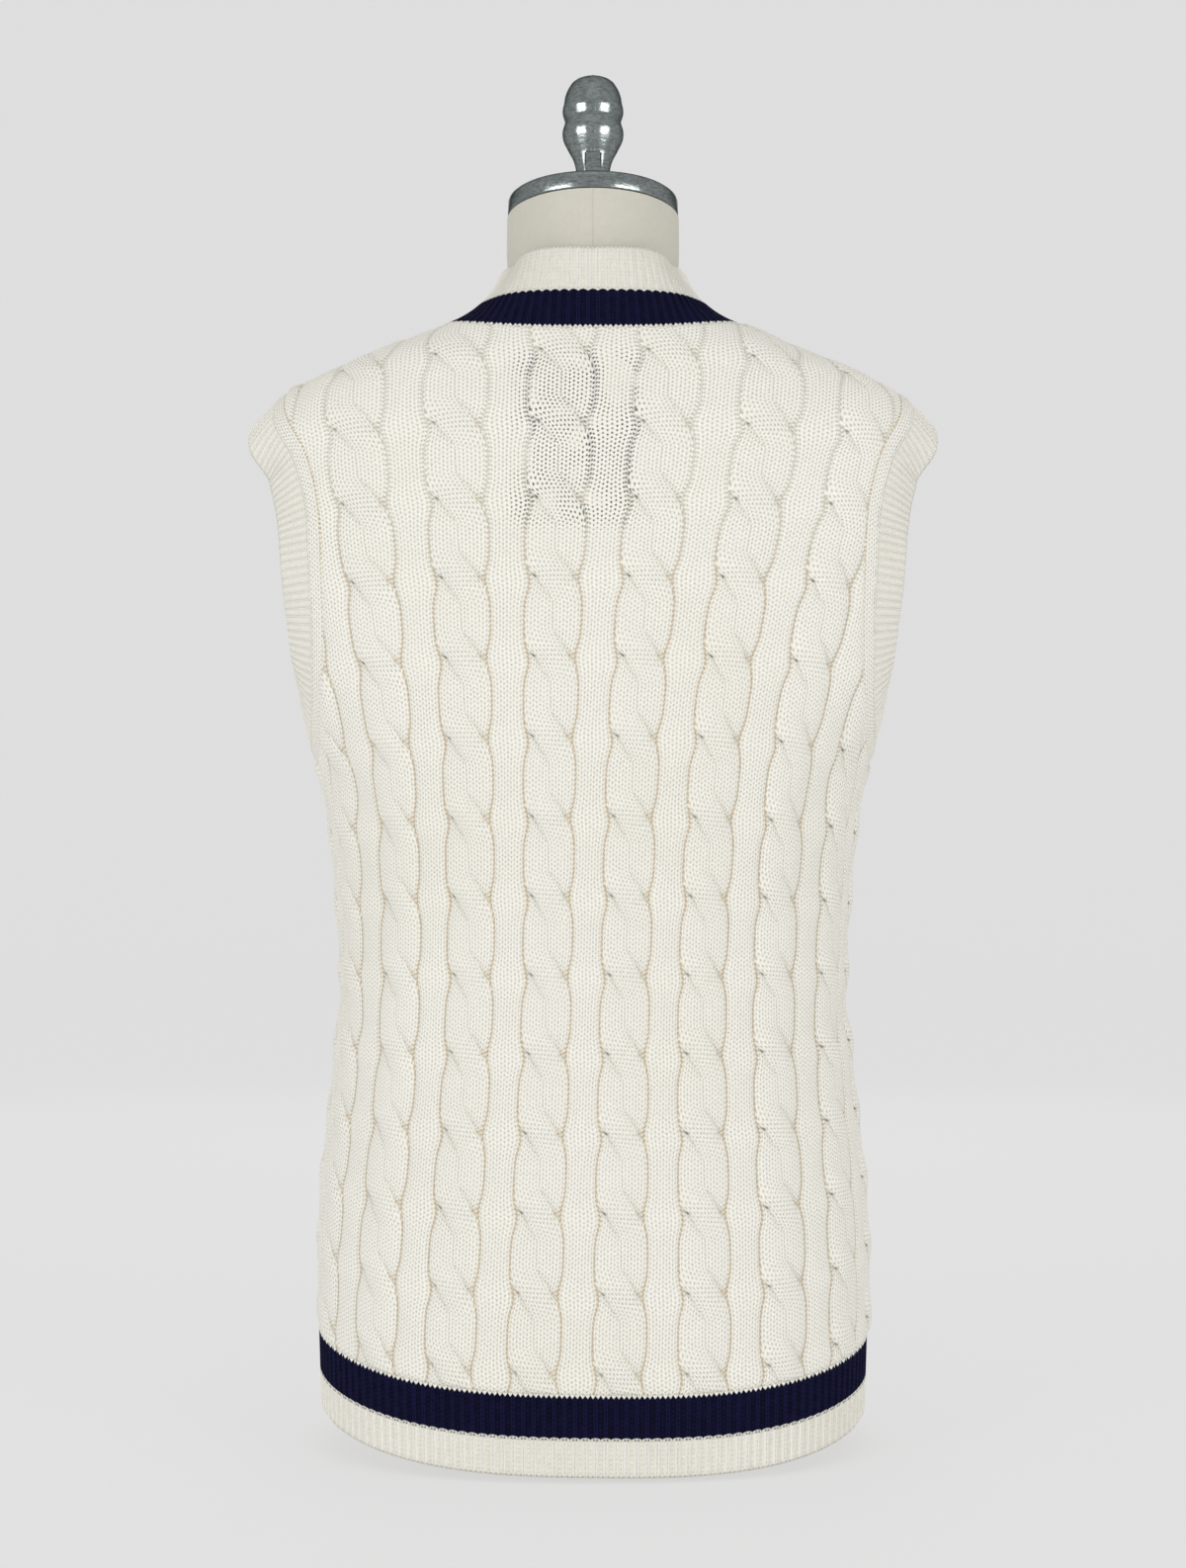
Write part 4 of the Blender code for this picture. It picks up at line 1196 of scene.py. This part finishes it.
    # painted shadow in the slit
    colour = finish.mix(slitShade * 0.9, colour, finish.mix(isOpen, yarn["slitShade"], yarn["openGapShade"]))
    finish.feed("Base Color", colour)
    relief = leg * 0.35 - gap - inGroove * 0.25 - slitShade - drawnShade * 0.4 + fibre * 0.15
    finish.bump(relief, yarn["stitchDeep"], 0.8)
    return finish.material


def otherYarn(period, fromCrest, fromNear, fromFar, tips):
    # where another yarn reaches in: how far its tips come in at the near and the far edge, and its scallops
    nearTip, farTip, farScallop = tips
    start, soft = ribStitches["tipFrom"], ribStitches["tipSoft"]
    tip = abs((period * 2).fract() - 0.5) * 2
    near = (fromNear - (1 - tip) * nearTip - start).between(soft, -soft)
    scallop = (1 - fromCrest * fromCrest).root() * farScallop
    far = (fromFar - (1 - fromCrest) * farTip - scallop).between(soft, -soft)
    if farScallop:
        eyeAcross, eyeAlong = ribStitches["eyeAt"]
        halfAcross, halfAlong = ribStitches["eyeHalf"]
        far = far * (1 - (fromFar - eyeAlong).bell(halfAlong) * (fromCrest - eyeAcross).bell(halfAcross))
    return near.atLeast(far)


def ribKnit(name, main, deep, tips=None):
    # a rib's two legs and its groove; tips are those of the cream yarn on a navy band
    r = ribStitches
    finish = Finish(name, main, Roughness=0.86, Specular_IOR_Level=0.04 if tips else 0.2)
    period, course, fromNear = finish.attribute("knit")
    fromFar = finish.attribute("tone")[0]
    fromCrest = abs(period.fract() - 0.5) * 2
    leg = (fromCrest - r["legAt"]).bell(r["legWide"])
    along = ((course + fromCrest * r["slant"]) * (2 * pi)).sine() * 0.5 + 0.5
    inGroove = fromCrest.between(*r["groove"])
    uneven = finish.noise(yarn["uneven"], 1.0)
    fibre = finish.noise(yarn["fibre"], 2.0)
    cloudy = finish.noise(yarn["ribCloudy"], 2.0)
    # painted shade: a dot at each V's foot, a thin line on both sides of the wale, and darker purl stitches
    # in the groove
    dot = fromCrest.bell(r["dotWide"]) * (1 - along) ** 2
    line = (fromCrest - r["lineAt"]).bell(r["lineWide"])
    purl = inGroove * (0.52 - along * 0.26)
    shade = (dot * 0.40 + line * 0.62).atLeast(purl)
    if tips:
        # on dark yarn only the tops of the legs and of the purl stitches catch the light
        shade = 1 - leg * (along * 0.5 + 0.5) - inGroove * along * 0.5
    colour = finish.mix((shade * (uneven * 0.9 + 0.5)).clamped(), main, deep)
    colour = finish.mix((cloudy - 0.35).clamped() * 0.35, colour, deep)
    if tips:
        colour = finish.mix(otherYarn(period, fromCrest, fromNear, fromFar, tips), colour, yarn["cream"])
    else:
        # painted shade between the loops of the chain at the free edge
        chain = (fromFar - r["chainAt"]).bell(r["chainHalf"])
        chain = chain * abs((period * 2).fract() - 0.5).bell(r["chainWide"])
        colour = finish.mix(chain * 0.7, colour, yarn["creamGapShade"])
    finish.feed("Base Color", colour)
    relief = leg * (0.75 + along * 0.25) - dot * 0.4 + inGroove * along * 0.35 + fibre * 0.16
    finish.bump(relief, yarn["stitchDeep"], 0.8)
    return finish.material


linen = {
    "colour": (0.655, 0.635, 0.555),
    "deep": (0.50, 0.475, 0.395),
    "thread": 0.0007,
    "threadDeep": 0.0003,
    "slubs": 260.0,  # to a metre
    "cloudy": 14.0,
    "seamHalf": 0.00028,
}


def linenCloth():
    finish = Finish("linenCloth", linen["colour"], Roughness=0.9, Sheen_Weight=0.1)
    around, up, _ = finish.attribute("weave")
    seam = finish.node("ShaderNodeSeparateXYZ", {}, {0: finish.place()}, 0).bell(linen["seamHalf"])
    warp = ((around / linen["thread"]).fract() * pi).sine()
    weft = ((up / linen["thread"]).fract() * pi).sine()
    weave = warp * 0.5 + weft * 0.5
    slub = finish.noise(linen["slubs"], 3.0)
    cloudy = finish.noise(linen["cloudy"], 3.0)
    colour = finish.mix(weave * 0.6 + slub * 0.4, linen["deep"], linen["colour"])
    colour = finish.mix((cloudy - 0.4) * 0.5, colour, linen["deep"])
    colour = finish.mix(seam * 0.40, colour, linen["deep"])
    finish.feed("Base Color", colour)
    finish.bump(weave * 0.5 + slub * 0.5 - seam * 0.6, linen["threadDeep"])
    return finish.material


metal = {
    "light": (0.27, 0.295, 0.29),
    "dark": (0.13, 0.15, 0.15),
    "edge": (0.25, 0.25, 0.25),  # keeps the rims as dark as the rest
    # how fine the casting's grain, ripples and patches are, to a metre
    "grain": 1300.0,
    "ripples": (300.0, 300.0, 900.0),
    "patches": 45.0,
    "rippleDeep": 0.00016,
}


def castMetal():
    finish = Finish("castMetal", metal["light"], Metallic=1.0, Specular_Tint=(*metal["edge"], 1.0))
    grain = finish.noise(metal["grain"], 2.0, 0.5)
    ripple = finish.noise(metal["ripples"], 2.0)
    patch = finish.noise(metal["patches"], 2.0)
    colour = finish.mix((grain * 0.4 + ripple * 0.6).between(0.30, 0.62), metal["dark"], metal["light"])
    colour = finish.mix(patch.between(0.45, 0.80) * 0.35, colour, metal["dark"])
    finish.feed("Base Color", colour)
    finish.feed("Roughness", 0.10 + grain * 0.12)
    finish.bump(grain * 0.3 + ripple * 0.7, metal["rippleDeep"], 0.7)
    return finish.material


wood = {
    "light": (0.56, 0.41, 0.25),
    "dark": (0.40, 0.27, 0.15),
    "grain": (9.0, 180.0, 180.0),  # runs along the board's width
    "grainDeep": 0.0003,
}


def beechBoard():
    finish = Finish("beechBoard", wood["light"], Roughness=0.5, Coat_Weight=0.15)
    grain = finish.noise(wood["grain"], 5.0, 0.6)
    finish.feed("Base Color", finish.mix(grain.between(0.35, 0.65), wood["dark"], wood["light"]))
    finish.bump(grain, wood["grainDeep"])
    return finish.material


form = {
    # height, half width, depth behind, depth ahead, squareness
    "rows": np.array((
        (0.0200, 0.1490, 0.0970, 0.0905, 2.35),
        (0.0260, 0.1530, 0.1010, 0.0945, 2.35),
        (0.0700, 0.1560, 0.1035, 0.0970, 2.35),
        (0.1450, 0.1545, 0.1005, 0.0960, 2.35),
        (0.2110, 0.1470, 0.0950, 0.0930, 2.35),
        (0.2950, 0.1400, 0.0900, 0.0905, 2.35),
        (0.3960, 0.1505, 0.1025, 0.1050, 2.35),
        (0.4370, 0.1570, 0.1070, 0.1100, 2.35),
        (0.4850, 0.1630, 0.1070, 0.1095, 2.35),
        (0.5400, 0.1695, 0.1030, 0.0985, 2.35),
        (0.5800, 0.1725, 0.0990, 0.0885, 2.35),
        (0.6030, 0.1725, 0.0950, 0.0805, 2.35),
        (0.6170, 0.1670, 0.0900, 0.0735, 2.35),
        (0.6270, 0.1570, 0.0860, 0.0680, 2.35),
        (0.6360, 0.1410, 0.0825, 0.0635, 2.35),
        (0.6450, 0.1200, 0.0785, 0.0585, 2.30),
        (0.6550, 0.0950, 0.0740, 0.0540, 2.20),
        (0.6660, 0.0740, 0.0685, 0.0485, 2.10),
        (0.6780, 0.0600, 0.0630, 0.0460, 2.00),
        (0.6940, 0.0525, 0.0585, 0.0455, 2.00),
        (0.7160, 0.0522, 0.0570, 0.0468, 2.00),
        (0.7367, 0.0520, 0.0560, 0.0470, 2.00),
    )),
    "segments": 128,
    "rowStep": 0.005,
    "tiltFrom": 0.694,
    "capTilt": radians(4.0),
    "neckCentre": 0.0042,
    "sharp": radians(50),  # edges that turn by more than this stay sharp, on the metal as well
}


def formTorso(finish):
    rows = form["rows"]
    top = rows[-1, 0]
    levels = np.linspace(rows[0, 0], top, int((top - rows[0, 0]) / form["rowStep"]) + 1)[:, None]
    turn = np.linspace(0, 2 * pi, form["segments"], endpoint=False)[None, :]
    half, behind, ahead, square = (curve(rows, k)(levels) for k in range(1, 5))
    power = 2 / square
    x = half * np.abs(np.sin(turn)) ** power * np.sign(np.sin(turn))
    y = np.where(np.cos(turn) > 0, behind, ahead) * np.abs(np.cos(turn)) ** power * np.sign(np.cos(turn))
    tilt = tan(form["capTilt"]) * np.maximum((levels - form["tiltFrom"]) / (top - form["tiltFrom"]), 0)
    z = levels + (y - form["neckCentre"]) * tilt
    points = np.stack((x, y, z), axis=-1)
    closed = np.concatenate((points, points[:, :1]), axis=1)
    steps = np.linalg.norm(np.diff(closed, axis=1), axis=2)
    around = np.concatenate((np.zeros((len(levels), 1)), np.cumsum(steps, axis=1)), axis=1)
    weave = np.stack((around, closed[..., 2], 0 * around), axis=-1)
    weave = np.stack((weave[:-1, :-1], weave[:-1, 1:], weave[1:, 1:], weave[1:, :-1]), axis=2).reshape(-1, 3)
    weave = np.concatenate((weave, np.zeros((2 * form["segments"], 3))))
    number = np.arange(x.size).reshape(x.shape)
    low, high = number[:-1], number[1:]
    faces = np.stack((low, np.roll(low, -1, axis=1), np.roll(high, -1, axis=1), high), axis=-1)
    faces = faces.reshape(-1, 4).tolist() + [number[0, ::-1].tolist(), number[-1].tolist()]
    piece = newMesh("form_linen", points.reshape(-1, 3), faces, finish, {"weave": weave})
    closeMesh(piece)
    piece.data.set_sharp_from_angle(angle=form["sharp"])
    return piece


foot = {
    "halfWide": 0.135,
    "halfDeep": 0.085,
    "high": 0.0197,
    "round": 0.003,
    "underRound": 0.4,  # as a share of the edge on top
    "segments": 96,
    "sharp": radians(40),
}


def formFoot(finish):
    r, h = foot["round"], foot["high"]
    corner = np.linspace(0, pi / 2, 5)
    profile = [(-r + r * np.cos(a), h - r + r * np.sin(a)) for a in corner]
    under = r * foot["underRound"]
    profile = [(-under, 0.0), (0.0, under)] + profile
    points = []
    wide, deep = foot["halfWide"], foot["halfDeep"]
    for turn in np.linspace(0, 2 * pi, foot["segments"], endpoint=False):
        points += [((wide + s) * cos(turn), (deep + s) * sin(turn), z) for s, z in profile]
    ring, count = len(profile), foot["segments"]
    faces = []
    for i in range(count):
        j = (i + 1) % count
        faces += [[i * ring + k, j * ring + k, j * ring + k + 1, i * ring + k + 1] for k in range(ring - 1)]
    faces.append([i * ring for i in range(count)][::-1])
    faces.append([i * ring + ring - 1 for i in range(count)])
    piece = newMesh("form_board", np.array(points), faces, finish, {})
    piece.data.set_sharp_from_angle(angle=foot["sharp"])
    return piece


cap = {
    # radius, height above the neck's top
    "profile": (
        (0.0000, 0.0120), (0.0440, 0.0120), (0.0478, 0.0118), (0.0500, 0.0111), (0.0511, 0.0100),
        (0.0515, 0.0085), (0.0515, 0.0020), (0.0512, 0.0010), (0.0504, 0.0004), (0.0490, 0.0003),
        (0.0000, 0.0003),
    ),
    "steps": 128,
}

knob = {
    "profile": np.array((
        (0.0123, 0.0116), (0.0200, 0.0106), (0.0300, 0.0104), (0.0357, 0.0118), (0.0433, 0.0156),
        (0.0493, 0.0183), (0.0536, 0.0186), (0.0575, 0.0176), (0.0595, 0.0172), (0.0615, 0.0176),
        (0.0660, 0.0186), (0.0703, 0.0179), (0.0760, 0.0168), (0.0798, 0.0152), (0.0843, 0.0115),
        (0.0866, 0.0069),
    )),
    "topHigh": 0.0873,
    "steps": 96,
    "rows": 56,
    "mouldLine": 0.00035,  # how far it stands up
    "mouldTurn": 0.05,  # half its width, in radians
    "tab": (0.0104, 0.0250, 0.0138),  # width, height, and how far its face is from the knob's axis
    "tabDeep": 0.0060,
    "tabRound": 0.0009,
}


def onNeck(piece):
    tilt = Matrix.Rotation(form["capTilt"], 4, "X")
    piece.data.transform(Matrix.Translation((0, form["neckCentre"], form["rows"][-1, 0])) @ tilt)
    return piece


def turnedPiece(name, profile, steps, finish, proud=None):
    points, faces = [], []
    ring = len(profile)
    for i, turn in enumerate(np.linspace(0, 2 * pi, steps, endpoint=False)):
        extra = proud(turn) if proud else 0
        radii = [r + extra * (r > 0.003) for r, _ in profile]
        points += [(r * cos(turn), r * sin(turn), z) for r, (_, z) in zip(radii, profile)]
        j = (i + 1) % steps
        faces += [[i * ring + k, i * ring + k + 1, j * ring + k + 1, j * ring + k] for k in range(ring - 1)]
    piece = newMesh(name, np.array(points), faces, finish, {})
    closeMesh(piece, 1e-6, True)
    piece.data.set_sharp_from_angle(angle=form["sharp"])
    return onNeck(piece)


def neckKnob(finish):
    heights = np.linspace(knob["profile"][0, 0], knob["profile"][-1, 0], knob["rows"])
    radii = curve(knob["profile"], 1)(heights)
    profile = list(zip(radii, heights)) + [(0.0035, knob["topHigh"] - 0.0002), (0.0, knob["topHigh"])]

    def mouldLine(turn):
        fromBack = min(abs(turn - pi / 2), abs(turn - 3 * pi / 2))
        return knob["mouldLine"] * np.exp(-((fromBack / knob["mouldTurn"]) ** 2))

    piece = turnedPiece("finial_knob", profile, knob["steps"], finish, mouldLine)
    wide, high, reach = knob["tab"]
    mesh = bmesh.new()
    bmesh.ops.create_cube(mesh, size=1)
    middle = (0, reach - knob["tabDeep"] / 2, knob["profile"][0, 0] + high / 2)
    mesh.transform(Matrix.Translation(middle) @ Matrix.Diagonal((wide, knob["tabDeep"], high, 1)))
    bmesh.ops.bevel(mesh, geom=mesh.edges[:], offset=knob["tabRound"], segments=3, affect="EDGES")
    data = bpy.data.meshes.new("finial_tab")
    mesh.to_mesh(data)
    mesh.free()
    data.materials.append(finish)
    data.shade_smooth()
    data.set_sharp_from_angle(angle=form["sharp"])
    tab = bpy.data.objects.new("finial_tab", data)
    bpy.context.scene.collection.objects.link(tab)
    onNeck(tab)
    return piece, tab


def standing(piece, slot, *nodes):
    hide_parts(*nodes)
    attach(piece, "root")
    return piece


cream = creamKnit()
ribCream = ribKnit("creamRib", yarn["cream"], yarn["ribDeep"])
ribSoft = ribKnit("softRib", yarn["cream"], yarn["ribSoft"])
hemNavy = ribKnit("navyHemRib", yarn["navy"], yarn["navyDeep"], (0.0018, 0.0, 0.0017))
neckNavy = ribKnit("navyNeckRib", yarn["navy"], yarn["navyDeep"], (0.0014, 0.0022, 0.0))
print("yarn finishes made")

cuts = {
    # flat width and length of each cut, in metres, and the share of that rectangle which is cloth
    "back": (0.50, 0.62, 0.88),
    "front": (0.50, 0.62, 0.80),
    "hem": (0.50, 0.0258),
    "hemCream": (0.49, 0.0215),
    "neckNavy": (0.80, 0.0275),
    "neckCream": (0.70, 0.0285),
    "armhole": (0.60, 0.026),
}

gap = seams["gap"] / 2
for front in (False, True):
    side = "front" if front else "back"
    panel = standing(knitPanel(f"{side}_knit", front, cream), "cream_cotton", f"{side}_panel")
    wide, long, filled = cuts[side]
    lines = hemLines(front)
    navy = ribBand(f"{side}_hem_navy", lines, gap, ribs["hemNavy"] - gap, hemNavy, (True, True))
    standing(navy, "navy_cotton", f"hem_rib_{side}_navy")
    low, high = ribs["hemNavy"] + gap, seams["hemSeam"] - seams["hemEdge"]
    creamRib = ribBand(f"{side}_hem_cream", lines, low, high, ribCream, (True, False))
    standing(creamRib, "cream_cotton", f"hem_rib_{side}_cream")
print("panels and hem made")

for colour, finish, low, high, cut, joined in (
    ("navy", neckNavy, gap, ribs["neckNavy"] - gap, "neckNavy", (True, True)),
    ("cream", ribCream, ribs["neckNavy"] + gap, ribs["neckBand"], "neckCream", (True, False)),
):
    lines = neckLines()
    lines = only(lines, lines.limit > low)
    band = ribBand(f"neck_{colour}", lines, low, high, finish, joined, half=True)
    standing(band, f"{colour}_cotton", f"neck_rib_{colour}")

wide, crest = ribs["armholeBand"], ribs["armholeCrest"]
left = ribBand("armhole_left", armholeLines(), gap, wide, ribSoft, (True, False), loop=True, crestHigh=crest)
right = left.copy()
right.data = left.data.copy()
right.data.transform(Matrix.Diagonal((-1, 1, 1, 1)))
right.data.flip_normals()
right.name = "armhole_right"
bpy.context.scene.collection.objects.link(right)
for side, band in (("left", left), ("right", right)):
    standing(band, "cream_cotton", f"armhole_rib_{side}")
print("neck and armhole ribs made")

standing(formTorso(linenCloth()), "linen", "form_torso")
standing(formFoot(beechBoard()), "beech", "form_foot")
steel = castMetal()
standing(turnedPiece("neck_plate", cap["profile"], cap["steps"], steel), "cast_metal", "neck_cap")
knobPiece, tabPiece = neckKnob(steel)
standing(knobPiece, "cast_metal", "finial")
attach(tabPiece, "root")
print("form, foot, cap and knob made")


def paperSweep():
    # a floor that curves up into a wall behind the object, seen from the camera
    s = studio
    profile = [(s["sweepDeep"], 0.0), (-s["sweepDeep"] + s["sweepRound"], 0.0)]
    for a in np.linspace(0, pi / 2, 24)[1:]:
        profile.append((
            -s["sweepDeep"] + s["sweepRound"] - s["sweepRound"] * sin(a),
            s["sweepRound"] * (1 - cos(a)),
        ))
    profile.append((-s["sweepDeep"], s["sweepHigh"]))
    points = [(x, y, z) for y, z in profile for x in (-s["sweepWide"] / 2, s["sweepWide"] / 2)]
    faces = [[2 * i, 2 * i + 1, 2 * i + 3, 2 * i + 2] for i in range(len(profile) - 1)]
    glow = {"Emission_Color": (*s["paperGlow"], 1), "Emission_Strength": s["paperGlowPower"]}
    finish = Finish("paper", s["paper"], Roughness=1.0, Specular_IOR_Level=0.0, **glow)
    sweep = newMesh("paper_sweep", np.array(points), faces, finish.material, {})


def lamps():
    # what each group lights: dull surfaces, and what the metal mirrors
    for group, onDull, inMirror in (("lamps", True, True), ("fills", True, False), ("panes", False, True)):
        for name, place, aim, wide, high, power in studio[group]:
            data = bpy.data.lights.new(name, "AREA")
            data.shape, data.size, data.size_y, data.energy = "RECTANGLE", wide, high, power
            lamp = bpy.data.objects.new(name, data)
            lamp.location = place
            lamp.rotation_euler = (Vector(aim) - Vector(place)).to_track_quat("-Z", "Y").to_euler()
            lamp.visible_diffuse, lamp.visible_glossy = onDull, inMirror
            bpy.context.scene.collection.objects.link(lamp)


paperSweep()
lamps()
world = bpy.data.worlds.new("studio")
world.use_nodes = True
world.node_tree.nodes["Background"].inputs["Color"].default_value = (*studio["world"], 1)
world.node_tree.nodes["Background"].inputs["Strength"].default_value = studio["worldPower"]
bpy.context.scene.world = world

lens = bpy.data.cameras.new("camera")
lens.lens, lens.sensor_width, lens.shift_y = camera["lens"], 36.0, camera["shiftUp"]
eye = bpy.data.objects.new("camera", lens)
eye.location = camera["place"]
eye.rotation_euler = (pi / 2, 0, pi)
bpy.context.scene.collection.objects.link(eye)
bpy.context.scene.camera = eye
bpy.context.scene.view_settings.view_transform = "Standard"
print("studio made")

bpy.context.view_layer.update()
